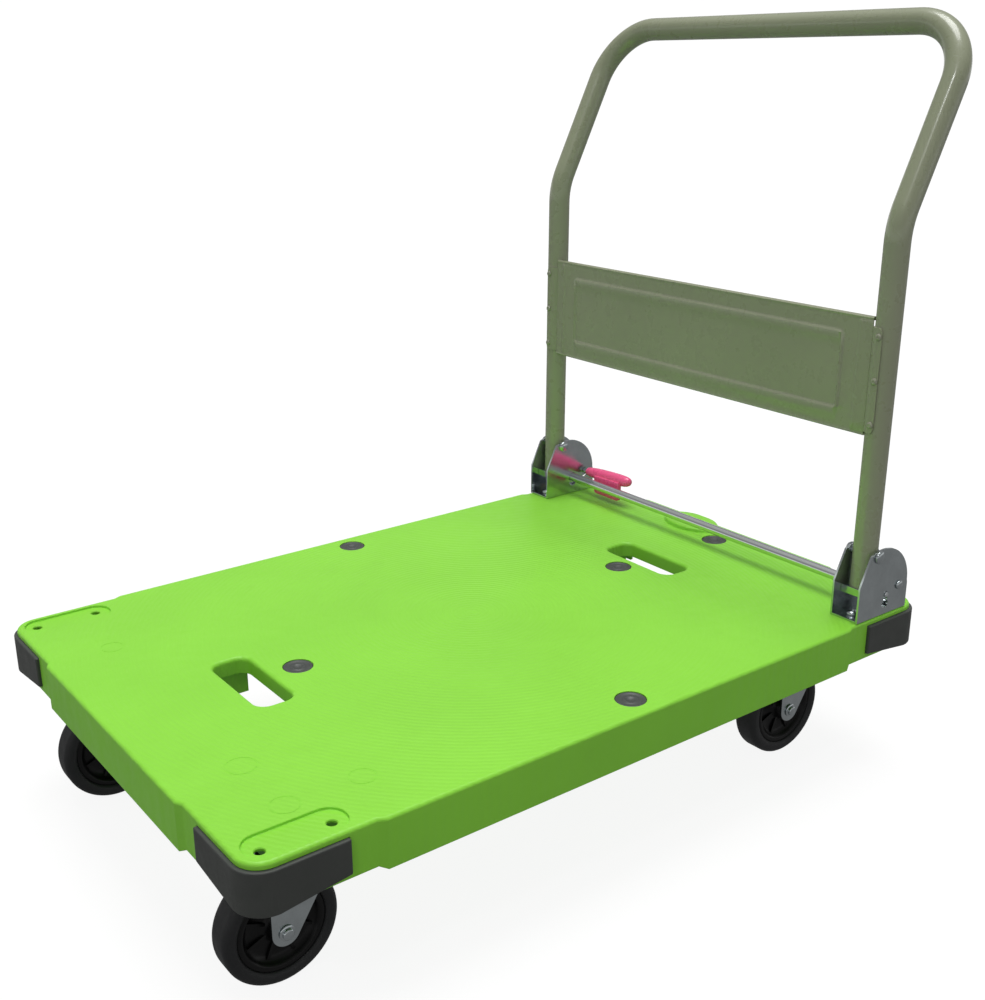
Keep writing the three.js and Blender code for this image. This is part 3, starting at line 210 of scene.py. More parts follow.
LIME = lin(138, 214, 61)


def deck_look():
    look = moulded("lime_moulded", LIME, (0.36, 0.5), 0.035, 1100.0, 0.10, specular=0.4, dirt=0.10)
    # Faint turned rings round the middle of the deck, left by the mould.
    shift = look.node("ShaderNodeMapping")
    shift.inputs["Location"].default_value = (-MIDDLE_X, 0, 0)
    look.links.new(look.coord.outputs["Object"], shift.inputs["Vector"])
    wave = look.nodes.new("ShaderNodeTexWave")
    wave.wave_type = "RINGS"
    wave.rings_direction = "Z"
    wave.inputs["Scale"].default_value = 50.0
    wave.inputs["Distortion"].default_value = 1.5
    wave.inputs["Detail"].default_value = 2.0
    wave.inputs["Detail Scale"].default_value = 1.4
    look.links.new(shift.outputs["Vector"], wave.inputs["Vector"])
    look.bump(wave.outputs["Fac"], 1.0, 0.0002)
    look.bump(look.noise(14.0, 2.0), 0.25, 0.0012)
    return look.mat


DECK = deck_look()
BUMPER = moulded("grey_rubber", lin(64, 67, 64), (0.45, 0.62), 0.1, 1400.0, 0.3, specular=0.45,
    dirt=0.25).mat
PLUG = moulded("dark_cap", lin(64, 68, 65), (0.4, 0.55), 0.08, 1500.0, 0.2).mat
OLIVE = moulded("olive_paint", lin(148, 154, 127), (0.24, 0.34), 0.04, 1300.0, 0.08, coat=0.45,
    dirt=0.08).mat
ZINC = metal("zinc_plate", lin(193, 200, 202), (0.13, 0.24), dark=0.88, bump=0.04).mat
ROD = metal("bright_rod", lin(225, 228, 230), (0.08, 0.15), (1, 0.05, 1), 900.0, 0.05, dark=0.86).mat
PINK = moulded("pink_grip", lin(250, 92, 146), (0.22, 0.32), 0.05, 1500.0, 0.05, coat=0.3, specular=0.5).mat
SPRING = metal("spring_wire", lin(150, 152, 156), (0.25, 0.4)).mat
HUB = moulded("black_hub", lin(8, 8, 9), (0.3, 0.45), 0.15, 1200.0, 0.06, specular=0.25, dirt=0.2).mat
TYRE = moulded("tyre_rubber", lin(31, 32, 34), (0.42, 0.6), 0.12, 1600.0, 0.35, specular=0.4, dirt=0.3).mat

# ---- Mesh tools ----------------------------------------------------------------------------------


def new_object(name, verts, faces, angle=32.0, material=None):
    mesh = bpy.data.meshes.new(name)
    mesh.from_pydata([row(v) for v in verts], [], faces)
    mesh.validate()
    made = bpy.data.objects.new(name, mesh)
    bpy.context.scene.collection.objects.link(made)
    bm = bmesh.new()
    bm.from_mesh(mesh)
    bmesh.ops.remove_doubles(bm, verts=bm.verts, dist=1e-6)
    bmesh.ops.recalc_face_normals(bm, faces=bm.faces)
    bm.to_mesh(mesh)
    bm.free()
    smooth(made, angle)
    if material:
        made.data.materials.append(material)
    return made


def smooth(made, angle=32.0):
    for poly in made.data.polygons:
        poly.use_smooth = True
    made.data.set_sharp_from_angle(angle=math.radians(angle))


def applied(made):
    graph = bpy.context.evaluated_depsgraph_get()
    mesh = bpy.data.meshes.new_from_object(made.evaluated_get(graph))
    made.modifiers.clear()
    made.data = mesh
    return made


def carve(made, cutters):
    for cutter in cutters:
        step = made.modifiers.new("carve", "BOOLEAN")
        step.operation = "DIFFERENCE"
        step.solver = "EXACT"
        step.object = cutter
    applied(made)
    for cutter in cutters:
        bpy.data.objects.remove(cutter)
    return made


def rounded(made, width, segments=3, angle=30.0):
    step = made.modifiers.new("round", "BEVEL")
    step.width = width / 1000
    step.segments = segments
    step.limit_method = "ANGLE"
    step.angle_limit = math.radians(angle)
    step.use_clamp_overlap = True
    applied(made)
    smooth(made, 40.0)
    step = made.modifiers.new("even", "WEIGHTED_NORMAL")
    step.keep_sharp = True
    return made


def merged(name, parts):
    bm = bmesh.new()
    for part in parts:
        bm.from_mesh(part.data)
    mesh = parts[0].data.copy()
    keep = list(parts[0].data.materials)
    bm.to_mesh(mesh)
    bm.free()
    for part in parts:
        bpy.data.objects.remove(part)
    made = bpy.data.objects.new(name, mesh)
    made.data.materials.clear()
    for material in keep:
        made.data.materials.append(material)
    bpy.context.scene.collection.objects.link(made)
    return made


def ring_faces(rings, sides, closed=False):
    faces = []
    count = len(rings)
    for i in range(count if closed else count - 1):
        a, b = i * sides, ((i + 1) % count) * sides
        for k in range(sides):
            n = (k + 1) % sides
            faces.append((a + k, a + n, b + n, b + k))
    return faces


def stack(name, rings, material, angle=32.0, caps=True, closed=False):
    """A skin over equal-length rings of points, one after another."""
    sides = len(rings[0])
    verts = [p for ring in rings for p in ring]
    faces = ring_faces(rings, sides, closed)
    if caps and not closed:
        faces.append(tuple(range(sides)))
        faces.append(tuple(range(len(verts) - sides, len(verts))))
    return new_object(name, verts, faces, angle, material)


def turned(name, profile, at, axis, material, segments=48, angle=32.0, closed=False):
    """A body of revolution from (radius, along) pairs about an axis through a point."""
    axis = Vector(axis)
    side = axis.orthogonal().normalized()
    up = axis.cross(side)
    rings = []
    for radius, along in profile:
        radius = max(radius, 0.02)
        rings.append([
            Vector(at) + axis * along
            + (side * math.cos(2 * math.pi * k / segments) + up * math.sin(2 * math.pi * k / segments)) * radius
            for k in range(segments)
        ])
    return stack(name, rings, material, angle, closed=closed)


def plate(name, outline, low, high, material, plane="xz", angle=32.0):
    """A flat outline made solid between two places along the third axis."""
    def put(p, w):
        return {"xy": (p[0], p[1], w), "xz": (p[0], w, p[1]), "yz": (w, p[0], p[1])}[plane]
    return stack(name, [[put(p, low) for p in outline], [put(p, high) for p in outline]], material, angle)


def arc(x, y, radius, start, end, steps=8):
    return [
        (x + radius * math.cos(math.radians(start + (end - start) * i / steps)),
         y + radius * math.sin(math.radians(start + (end - start) * i / steps)))
        for i in range(steps + 1)
    ]


def round_box(length, width, radius, x=0.0, y=0.0, steps=8):
    a, b = length / 2 - radius, width / 2 - radius
    return (arc(x + a, y + b, radius, 0, 90, steps) + arc(x - a, y + b, radius, 90, 180, steps)
            + arc(x - a, y - b, radius, 180, 270, steps) + arc(x + a, y - b, radius, 270, 360, steps))


def block(name, x, y, z, material):
    return plate(name, [(x[0], y[0]), (x[1], y[0]), (x[1], y[1]), (x[0], y[1])], z[0], z[1], material, "xy")


def tube(name, points, radius, material, sides=40, caps=True):
    """A round skin along a route, with a frame carried along it."""
    points = [Vector(p) for p in points]
    rings = []
    normal = None
    for i, p in enumerate(points):
        ahead = points[min(i + 1, len(points) - 1)] - points[max(i - 1, 0)]
        ahead.normalize()
        if normal is None:
            normal = ahead.orthogonal().normalized()
        normal = (normal - ahead * normal.dot(ahead)).normalized()
        other = ahead.cross(normal)
        rings.append([
            p + (normal * math.cos(a) + other * math.sin(a)) * radius
            for a in (2 * math.pi * k / sides for k in range(sides))
        ])
    return stack(name, rings, material, 40.0, caps)


def bent(corners, radii, step=5.0):
    """Straight runs joined by arcs."""
    pts = [Vector(c) for c in corners]
    out = [pts[0]]
    for before, corner, after, radius in zip(pts, pts[1:], pts[2:], radii):
        into = (corner - before).normalized()
        away = (after - corner).normalized()
        turn = into.angle(away)
        inward = (away - into * math.cos(turn)).normalized()
        start = corner - into * radius * math.tan(turn / 2)
        centre = start + inward * radius
        steps = max(2, math.ceil(math.degrees(turn) / step))
        for i in range(steps + 1):
            a = turn * i / steps
            out.append(centre - inward * radius * math.cos(a) + into * radius * math.sin(a))
    out.append(pts[-1])
    return out


def stand_for(made, body, *nodes):
    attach(made, body)
    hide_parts(*nodes)
    return made


# ---- Deck ----------------------------------------------------------------------------------------

EDGE = 4.0
PROUD = 4.0
HOLE_LIP = 4.5
LINER_Z = DECK_TOP - 19.0
RIB_Z = DECK_TOP - 30.0


def deck_outline(inset):
    """The deck's plan: straight proud middles, sloped steps and round corners. Each point carries
    whether it stands on a proud stretch."""
    ax, ay = HALF_LENGTH - inset, HALF_WIDTH - inset
    bx, by = ax - PROUD, ay - PROUD
    r = max(CORNER_R - PROUD - inset, 2.0)
    quarter = [(ax, 167.0, True), (bx, 175.0, False)]
    quarter += [(x, y, False) for x, y in arc(bx - r, by - r, r, 0, 90, 12)]
    quarter += [(321.0, by, False), (313.0, ay, True)]
    second = [(-x, y, p) for x, y, p in reversed(quarter)]
    half = quarter + second
    return half + [(-x, -y, p) for x, y, p in half]


def deck_ring(inset, z, drop=False):
    return [(x, y, z - (4.0 if drop and p else 0.0)) for x, y, p in deck_outline(inset)]


def hand_hole_cutter(x):
    plan = lambda grow: round_box(43 + 2 * grow, 119 + 2 * grow, 14 + grow, x)
    steps = [(0.0, 120.0)]
    for i in range(6):
        a = math.pi / 2 * i / 5
        steps.append((HOLE_LIP * (1 - math.cos(a)), DECK_TOP - HOLE_LIP + HOLE_LIP * math.sin(a)))
    steps.append((HOLE_LIP, DECK_TOP + 12))
    return stack("cutter", [[(px, py, z) for px, py in plan(grow)] for grow, z in steps], None)


def pad_cutter(sy):
    """Sunk pad in a front corner, with a rounded foot to its wall."""
    x = 13 + 99 / 2 - HALF_LENGTH
    y = sy * (HALF_WIDTH - 11 - 38 / 2)
    steps = [(-1.0, DECK_TOP - 3), (-0.3, DECK_TOP - 2.7), (0, DECK_TOP - 2), (0, DECK_TOP - 0.5),
        (0.6, DECK_TOP + 0.1),
             (0.6, DECK_TOP + 12)]
    plan = lambda grow: round_box(99 + 2 * grow, 38 + 2 * grow, 18 + grow, x, y, 12)
    return stack("cutter", [[(px, py, z) for px, py in plan(grow)] for grow, z in steps], None)


def bumper_outline(sx, sy, outer, inner, arm):
    radius_out, radius_in = CORNER_R - outer, CORNER_R - inner
    ox, oy = HALF_LENGTH - outer, HALF_WIDTH - outer
    ix, iy = HALF_LENGTH - inner, HALF_WIDTH - inner
    out = ([(ox, HALF_WIDTH - arm)] + arc(ox - radius_out, oy - radius_out, radius_out, 0, 90, 14)
           + [(HALF_LENGTH - arm, oy), (HALF_LENGTH - arm, iy)]
           + arc(ix - radius_in, iy - radius_in, radius_in, 90, 0, 14) + [(ix, HALF_WIDTH - arm)])
    return [(sx * x, sy * y) for x, y in out]


def bumper(sx, sy, name, grow=0.0, material=None):
    outline = bumper_outline(sx, sy, -grow * 8, GUARD_DEPTH + grow, GUARD_ARM + grow)
    low = []
    for x, y in outline:
        along = max(HALF_LENGTH - CORNER_R - abs(x), HALF_WIDTH - CORNER_R - abs(y), 0.0)
        low.append((x, y, 147 - grow + 9.0 * min(1.0, along / 70)))
    high = [(x, y, DECK_TOP - 7 + grow) for x, y in outline]
    return stack(name, [low, high], material)


def plug_holes():
    spots = [(-233, 0), (233, 0), (401, -8), (0, 274), (0, -274)]
    return [turned("cutter", [(16.8, DECK_TOP - 4.3), (16.8, DECK_TOP + 9)], (x, y, 0), (0, 0, 1),
        None) for x, y in spots]


def pad_holes():
    cutters = []
    for sy in (1, -1):
        for x in (27, 96):
            profile = [(5, DECK_TOP - 16), (5, DECK_TOP - 4), (5.8, DECK_TOP - 3), (6, DECK_TOP + 6)]
            cutters.append(turned("cutter", profile, (x - HALF_LENGTH, sy * 278, 0), (0, 0, 1), None, 24))
    return cutters


def mould_marks():
    """Hair-thin ring grooves left by ejector pins."""
    cutters = []
    for x, y, r in [(74, -150, 15), (154, -234, 13), (75, -233, 14), (74, 168, 12)]:
        profile = [(r - 0.35, DECK_TOP - 0.25), (r + 0.35, DECK_TOP - 0.25), (r + 0.35, DECK_TOP + 3),
            (r - 0.35, DECK_TOP + 3)]
        cutters.append(turned("cutter", profile, (x - HALF_LENGTH, y, 0), (0, 0, 1), None, 40, closed=True))
    return cutters


def deck():
    rings = [deck_ring(9.5, 192), deck_ring(9.5, SKIRT_LOW, True), deck_ring(1.5, SKIRT_LOW, True),
        deck_ring(0.4, 149.6, True),
             deck_ring(0, 151, True)]
    for i in range(7):
        a = math.pi / 2 * i / 6
        rings.append(deck_ring(EDGE * (1 - math.cos(a)), DECK_TOP - EDGE + EDGE * math.sin(a)))
    shell = stack("deck_shell", rings, DECK)
    cutters = [hand_hole_cutter(x) for x in HAND_HOLES] + plug_holes() + pad_holes() + mould_marks()
    cutters += [pad_cutter(sy) for sy in (1, -1)]
    for _, sx, sy in CORNERS:
        cutters.append(bumper(sx, sy, "cutter", 0.5))
    carve(shell, cutters)
    parts = [shell]
    for x in HAND_HOLES:
        outer = round_box(53, 129, 19, x)
        inner = round_box(43, 119, 14, x)
        steps = ((outer, 192), (outer, LINER_Z), (inner, LINER_Z), (inner, 192))
        parts.append(stack("liner", [[(px, py, z) for px, py in plan] for plan, z in steps], DECK,
            closed=True))
    for x in range(-405, 406, 90):
        clear = all(abs(x - hole) > 35 for hole in HAND_HOLES)
        for y in [(-296, 296)] if clear else [(-296, -62), (62, 296)]:
            parts.append(block("rib", (x - 2, x + 2), y, (RIB_Z, SKIN_LOW), DECK))
    for y in (-100, 100):
        parts.append(block("rib", (-440, 440), (y - 2, y + 2), (RIB_Z, SKIN_LOW), DECK))
    for x in HAND_HOLES:
        for y in (66.5, -70.5):
            parts.append(block("deep_rib", (x - 26.5, x + 26.5), (y, y + 4), (150, SKIN_LOW), DECK))
    for _, sx, sy in CORNERS:
        outline = round_box(100, 86, 9, sx * CASTER_X, sy * CASTER_Y, 5)
        parts.append(plate("seat", outline, 160, SKIN_LOW, DECK, "xy"))
    made = merged("deck_shell", parts)
    smooth(made, 30.0)
    step = made.modifiers.new("even", "WEIGHTED_NORMAL")
    step.keep_sharp = True
    return stand_for(made, "platform", "deck")


deck()


RISE_X, RISE_Y = HALF_LENGTH - 26, 57  # middle of the oval
RISE_REACH, RISE_HALF = 28, 44  # half its size along and across the deck


def rear_rise():
    """Flat oval rise with a steep wall, cut off by the deck's rear edge."""
    rear = HALF_LENGTH - 0.8
    steps = [(2.4, SKIN_LOW), (1.2, DECK_TOP), (0.4, DECK_TOP + 0.6), (0, DECK_TOP + 2),
        (-0.4, DECK_TOP + 3.2), (-1.4, DECK_TOP + 4.5),
             (-3.0, DECK_TOP + 5.0), (-12, DECK_TOP + 5.0)]
    rings = []
    for grow, z in steps:
        edge = rear - max(0.0, z - DECK_TOP - 3) * 0.5
        rings.append([
            (min(RISE_X + (RISE_REACH + grow) * math.cos(t), edge),
                RISE_Y + (RISE_HALF + grow) * math.sin(t), z)
            for t in (2 * math.pi * k / 72 for k in range(72))
        ])
    made = stack("rear_rise", rings, DECK, 50)
    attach(made, "platform")


rear_rise()

for name, sx, sy in CORNERS:
    strip = rounded(bumper(sx, sy, f"bumper_pad_{name}", 0.0, BUMPER), 1.6, 4)
    stand_for(strip, "platform", f"bumper_{name}")


def plug(name):
    lo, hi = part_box(name)
    x, y = ((lo.x + hi.x) / 2 - MIDDLE_X) * 1000, (lo.y + hi.y) * 500
    t = DECK_TOP
    profile = [(0, t - 12), (7, t - 12), (7, t - 4.0), (16.4, t - 4.0), (16.4, t - 1.1), (15.8, t - 0.5),
        (14.6, t - 0.2),
               (13.4, t - 0.7), (12.2, t - 1.3), (8.6, t - 1.3), (7.8, t - 0.7), (6.6, t - 0.5),
                   (5.6, t - 0.9),
               (4.4, t - 1.8), (0, t - 1.9)]
    stand_for(turned(f"{name}_cap", profile, (x, y, 0), (0, 0, 1), PLUG, 64, 50), "platform", name)


for plug_name in ("plug_front", "plug_rear", "plug_rear_edge", "plug_left", "plug_right"):
    plug(plug_name)

# ---- Handle --------------------------------------------------------------------------------------

LEG_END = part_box("handle_tube")[0].z * 1000 + TUBE_R * math.sin(HANDLE_TILT)


def handle_tube():
    top = (LEG_X + 100, DECK_TOP + 656)
    side = lambda s: [(LEG_X, s * LEG_Y, LEG_END), (LEG_X, s * LEG_Y, DECK_TOP + 450),
        (top[0], s * LEG_Y, top[1])]
    route = bent(side(-1) + side(1)[::-1], [90, 72, 72, 90], 3.0)
    outer = tube("handle_frame", route, TUBE_R - 0.05, OLIVE, 48, caps=False)
    inner = tube("inner", route, TUBE_R - 1.6, OLIVE, 48, caps=False)
    bm = bmesh.new()
    bm.from_mesh(outer.data)
    skin = len(bm.verts)
    bm.from_mesh(inner.data)
    bm.verts.ensure_lookup_table()
    count = skin // 48
    for base in (0, (count - 1) * 48):
        for k in range(48):
            n = (k + 1) % 48
            bm.faces.new([bm.verts[i] for i in (base + k, base + n, skin + base + n, skin + base + k)])
    bmesh.ops.recalc_face_normals(bm, faces=bm.faces)
    bm.to_mesh(outer.data)
    bm.free()
    bpy.data.objects.remove(inner)
    smooth(outer, 50)
    stand_for(tilted(outer), "handle", "handle_tube")


handle_tube()


def spaced(low, high, fine, coarse):
    """Places from low to high, close together near the fine ones."""
    out = []
    at = low
    while at < high - 0.2:
        out.append(at)
        near = min(abs(at - f) for f in fine)
        at += 1.0 if near < 7 else coarse
    return out + [high]


PANEL_FORWARD = 9.5
FLANGE_START = -math.degrees(math.asin((PANEL_FORWARD - 0.7) / (TUBE_R + 0.35)))


def panel():
    """Pressed sheet: a raised bead frame, rolled hems above and below, and flanges round the legs."""
    reach = LEG_Y - math.sqrt((TUBE_R + 1.1) ** 2 - PANEL_FORWARD ** 2)
    low, high = PANEL_LOW, PANEL_HIGH
    face = LEG_X - PANEL_FORWARD - 0.75
    bead_y, bead_low, bead_high = 230.0, DECK_TOP + 239, DECK_TOP + 327

    def raised(y, z):
        dy = abs(abs(y) - bead_y) if bead_low - 4 < z < bead_high + 4 else 99
        dz = min(abs(z - bead_low), abs(z - bead_high)) if abs(y) < bead_y + 4 else 99
        corner = 6.0
        if abs(y) > bead_y - corner and (z < bead_low + corner or z > bead_high - corner):
            cz = bead_low + corner if z < bead_low + corner else bead_high - corner
            near = abs(math.hypot(abs(y) - bead_y + corner, z - cz) - corner)
        else:
            near = min(dy, dz)
        bead = 2.6 * math.exp(-(near / 1.8) ** 2)
        side = 1.2 * math.exp(-((abs(y) - 254) / 2.4) ** 2)
        return bead + side

    ys = spaced(-reach, reach, [-254, -bead_y, -bead_y + 6, bead_y - 6, bead_y, 254], 14.0)
    zs = spaced(low + 5, high - 5, [bead_low, bead_high], 9.0)
    section = []  # (x, z, takes the bead)
    section += [(face + 4.2, low + 4.5, 0), (face + 4.4, low + 2.0, 0), (face + 3.0, low + 0.4, 0),
        (face + 1.2, low + 0.2, 0),
                (face - 0.4, low + 1.6, 0), (face, low + 3.4, 0)]
    section += [(face, z, 1) for z in zs]
    section += [(face, high - 3.4, 0), (face - 0.6, high - 1.6, 0), (face + 1.2, high - 0.2, 0),
        (face + 3.0, high - 0.4, 0),
                (face + 4.4, high - 2.0, 0), (face + 4.2, high - 4.5, 0)]
    rows = len(section)
    verts = [(x - (raised(y, z) if live else 0), y, z) for y in ys for x, z, live in section]
    faces = []
    for i in range(len(ys) - 1):
        for k in range(rows - 1):
            faces.append((i * rows + k, i * rows + k + 1, (i + 1) * rows + k + 1, (i + 1) * rows + k))
    sheet = new_object("handle_sheet", verts, faces, 60, OLIVE)
    step = sheet.modifiers.new("thick", "SOLIDIFY")
    step.thickness = 0.0012
    step.offset = 0
    applied(sheet)
    parts = [sheet]
    for side in (1, -1):
        rings = []
        for i in range(15):
            turn = math.radians(FLANGE_START - (FLANGE_START + 15) * i / 14 - 90 * i / 14)
            corner_cut = 5.0 * max(0.0, (i - 11) / 3) ** 2
            z0, z1 = DECK_TOP + 221 + corner_cut, DECK_TOP + 340 - corner_cut
            rings.append([
                (LEG_X + r * math.sin(turn), side * (LEG_Y - r * math.cos(turn)), z)
                for r, z in ((TUBE_R + 0.35, z0), (TUBE_R + 1.8, z0 + 0.4), (TUBE_R + 1.8, z1 - 0.4),
                    (TUBE_R + 0.35, z1))
            ])
        parts.append(stack("flange", rings, OLIVE, 40))
    made = merged("handle_sheet", parts)
    smooth(made, 50)
    stand_for(tilted(made), "handle", "handle_panel")


panel()


def rivet(name):
    lo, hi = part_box(name)
    middle = (lo + hi) / 2 - row((LEG_X, 0, PIVOT_Z))
    middle.rotate(Matrix.Rotation(-HANDLE_TILT, 3, "Y"))
    y, z = middle.y * 1000, PIVOT_Z + middle.z * 1000
    seat = TUBE_R + 1.85
    profile = [(0, TUBE_R - 3.6), (2, TUBE_R - 3.6), (2, seat), (4, seat), (4, seat + 0.5),
        (3.5, seat + 1.2), (2.7, seat + 1.8),
               (1.7, seat + 2.1), (1.3, seat + 1.7), (0, seat + 1.6)]
    head = turned(f"{name}_head", profile, (LEG_X, y, z), (-1, 0, 0), RIVET, 28, 50)
    stand_for(tilted(head), "handle", name)


RIVET = moulded("painted_rivet", lin(150, 153, 132), (0.28, 0.38), 0.05, 1300.0, 0.1, coat=0.3).mat
for side_name, _ in SIDES:
    for level in ("upper", "middle", "lower"):
        rivet(f"rivet_{side_name}_{level}")

# ---- Hinge brackets ------------------------------------------------------------------------------


def bracket_outline():
    bottom = DECK_TOP + 0.3
    cx, cz, r = LEG_X + 9, DECK_TOP + 34, 50
    pts = [(LEG_X - 30, bottom), (LEG_X + 60, bottom), (LEG_X + 60, cz - 4)]
    pts += [(x, z) for x, z in arc(cx, cz, r, 0, 116, 22)]
    pts += [(LEG_X - 29.6, DECK_TOP + 44)]
    return pts


def capsule(x, z, radius, drop, steps=10):
    return arc(x, z, radius, 0, 180, steps) + arc(x, z - drop, radius, 180, 360, steps)


def bracket(label, side):
    parts = []
    for near, far, slot_r in ((-19.3, -16.8, 6.75), (16.8, 19.3, 3.6)):
        y0, y1 = sorted((side * (LEG_Y + near), side * (LEG_Y + far)))
        sheet = plate("sheet", bracket_outline(), y0, y1, ZINC)
        slot = plate("cutter", capsule(ROD_X, ROD_Z, slot_r, ROD_TRAVEL), y0 - 3, y1 + 3, None)
        cutters = [slot]
        if slot_r < 5:  # the outer plate's slot widens at its foot
            cutters.append(plate("cutter", arc(ROD_X, DECK_TOP + 13, 5.2, 0, 360, 20)[:-1], y0 - 3, y1 + 3,
                None))
        pin_holes = [arc(LEG_X, PIVOT_Z, 5.3, 0, 360, 24)[:-1]]
        if side < 0:
            pin_holes.append(arc(STUB_X, STUB_Z, 3.8, 0, 360, 24)[:-1])
        elif near < 0:  # the pedal's pin sinks with the rod
            pin_holes.append(capsule(STUB_X, STUB_Z, 4.5, ROD_TRAVEL))
        cutters += [plate("cutter", hole, y0 - 3, y1 + 3, None) for hole in pin_holes]
        carve(sheet, cutters)
        parts.append(sheet)
    y0, y1 = sorted((side * (LEG_Y - 17.5), side * (LEG_Y + 17.5)))
    parts.append(block("base", (LEG_X - 30, LEG_X + 60), (y0, y1), (DECK_TOP + 0.3, DECK_TOP + 2.8), ZINC))
    made = merged(f"bracket_channel_{label}", parts)
    rounded(made, 0.5, 2, 50)
    stand_for(made, "platform", f"hinge_bracket_{label}")
    # stop strip, a thin bar across the channel
    y0, y1 = sorted((side * (LEG_Y - 16.4), side * (LEG_Y + 16.4)))
    strip = [block("strip", (LEG_X - 17.05, LEG_X - 15.15), (y0, y1), (DECK_TOP + 27, DECK_TOP + 36), ZINC)]
    made = merged(f"stop_bar_{label}", strip)
    rounded(made, 0.4, 2)
    stand_for(made, "platform", f"stop_strip_{label}")


for side_name, side_sign in SIDES:
    bracket(side_name, side_sign)


def dome_pin(name, node, x, z, side, shank, head, height, tail):
    """Pin through both plates, with a domed outward head and a flatter inward one."""
    seat = 19.6
    profile = [(0, -seat - tail), (head * 0.6, -seat - tail), (head * 0.86, -seat - tail * 0.75),
        (head, -seat - tail * 0.3),
               (head, -seat), (shank, -seat), (shank, seat), (head, seat), (head, seat + height * 0.35)]
    profile += [(head * math.cos(a), seat + height * (0.35 + 0.6 * math.sin(a))) for a in (0.3, 0.6, 0.9,
        1.2, 1.45)]
    profile += [(0, seat + height * 0.96)]
    made = turned(name, profile, (x, side * LEG_Y, z), (0, side, 0), ZINC, 40, 40)
    stand_for(made, "platform", node)


for side_name, side_sign in SIDES:
    dome_pin(f"pivot_{side_name}", f"pivot_bolt_{side_name}", LEG_X, PIVOT_Z, side_sign, 5, 7.5, 4.2, 4.2)
    for end, dx in (("front", -14), ("rear", 44)):
        x, y, z = LEG_X + dx, side_sign * LEG_Y, DECK_TOP + 2.8
        screw = turned("screw", [(0, z - 23), (3.9, z - 23), (4, z + 0.2), (7, z + 0.2), (7, z + 1.6),
            (6.4, z + 3.2), (4.6, z + 4.4),
                                 (3.2, z + 4.6), (2.4, z + 3.0), (0, z + 2.9)], (x, y, 0), (0, 0, 1), ZINC,
                                     36, 40)
        screw.name = f"base_screw_{side_name}_{end}"
        stand_for(screw, "platform", f"bracket_bolt_{side_name}_{end}")

dome_pin("spacer_pin_right", "spacer_pin", STUB_X, STUB_Z, -1, 3.5, 5.5, 3.5, 3.5)

# ---- Lock bar ------------------------------------------------------------------------------------


def lock_rod():
    full, end = LEG_Y + 16.2, LEG_Y + 21.3
    half = [(0, end), (2.3, end), (3, end - 0.7), (3, full + 0.1), (5.6, full), (6.25, full - 0.7)]
    profile = [(r, -y) for r, y in half] + [(r, y) for r, y in reversed(half)]
    stand_for(turned("lock_bar_rod", profile, (ROD_X, 0, ROD_Z), (0, 1, 0), ROD, 40, 40), "lock_bar",
        "lock_rod")


lock_rod()
INBOARD = LEG_Y - 19.3
PEDAL_START = INBOARD - 9


def pedal_metal():
    tilt = math.degrees(math.atan2(STUB_Z - ROD_Z, STUB_X - ROD_X))
    outline = arc(STUB_X, STUB_Z, 9, tilt - 90, tilt + 90, 14) + arc(ROD_X, ROD_Z, 9, tilt + 90,
        tilt + 270, 14)
    y = INBOARD + 2.8
    made = plate("pedal_link", outline, y, y + 1.8, ZINC)
    pins = ((STUB_X, STUB_Z, 4.3), (ROD_X, ROD_Z, 6.55))
    carve(made, [plate("cutter", arc(x, z, r, 0, 360, 28)[:-1], y - 3, y + 5, None) for x, z, r in pins])
    rounded(made, 0.3, 2, 50)
    stand_for(made, "lock_bar", "pedal_arm")
    end = PEDAL_START - 25.7
    head = y + 2.1
    profile = [(0, end), (3.6, end), (4, end + 0.6), (4, head), (5.6, head), (6, head + 0.5),
        (6, head + 1.1), (5.4, head + 1.6),
               (0, head + 1.6)]
    stand_for(turned("pedal_pin", profile, (STUB_X, 0, STUB_Z), (0, 1, 0), ZINC, 36, 40), "lock_bar",
        "pedal_stub")


pedal_metal()


def pedal():
    shares = [(0.0, 0.0), (0.42, 0.004), (0.60, 0.018), (0.76, 0.05), (0.87, 0.10), (0.95, 0.18),
        (1.0, 0.30), (1.0, 0.52),
              (0.97, 0.68), (0.90, 0.82), (0.80, 0.92), (0.73, 0.975), (0.66, 0.997), (0.48, 1.0),
                  (0.46, 0.96)]
    rings = []
    for share, t in shares:
        along = PEDAL_LENGTH * (1 - t)
        centre = Vector((STUB_X, PEDAL_START - along, STUB_Z + PEDAL_RISE * along / PEDAL_LENGTH))
        r = max(share * 9.3, 0.02)
        rings.append([centre + Vector((r * math.cos(a), 0,
            r * 0.94 * math.sin(a))) for a in (2 * math.pi * k / 48 for k in range(48))])
    grip = stack("grip", rings, PINK, 60)
    # web under the grip, rounded at its ends
    y0, y1 = PEDAL_START - 78, PEDAL_START - 25
    outline = [(y1, STUB_Z + 2)] + arc(y1 - 5, DECK_TOP + 11.6, 5, 0, -90, 5)
    outline += arc(y0 + 5, DECK_TOP + 11.6, 5, -90, -180, 5) + [(y0, STUB_Z + 4)]
    web = plate("web", outline, STUB_X - 11.5, STUB_X - 4.5, PINK, "yz")
    rounded(web, 1.6, 4)
    made = merged("pedal_grip", [grip, applied(web)])
    smooth(made, 45)
    stand_for(made, "lock_bar", "release_pedal")


pedal()


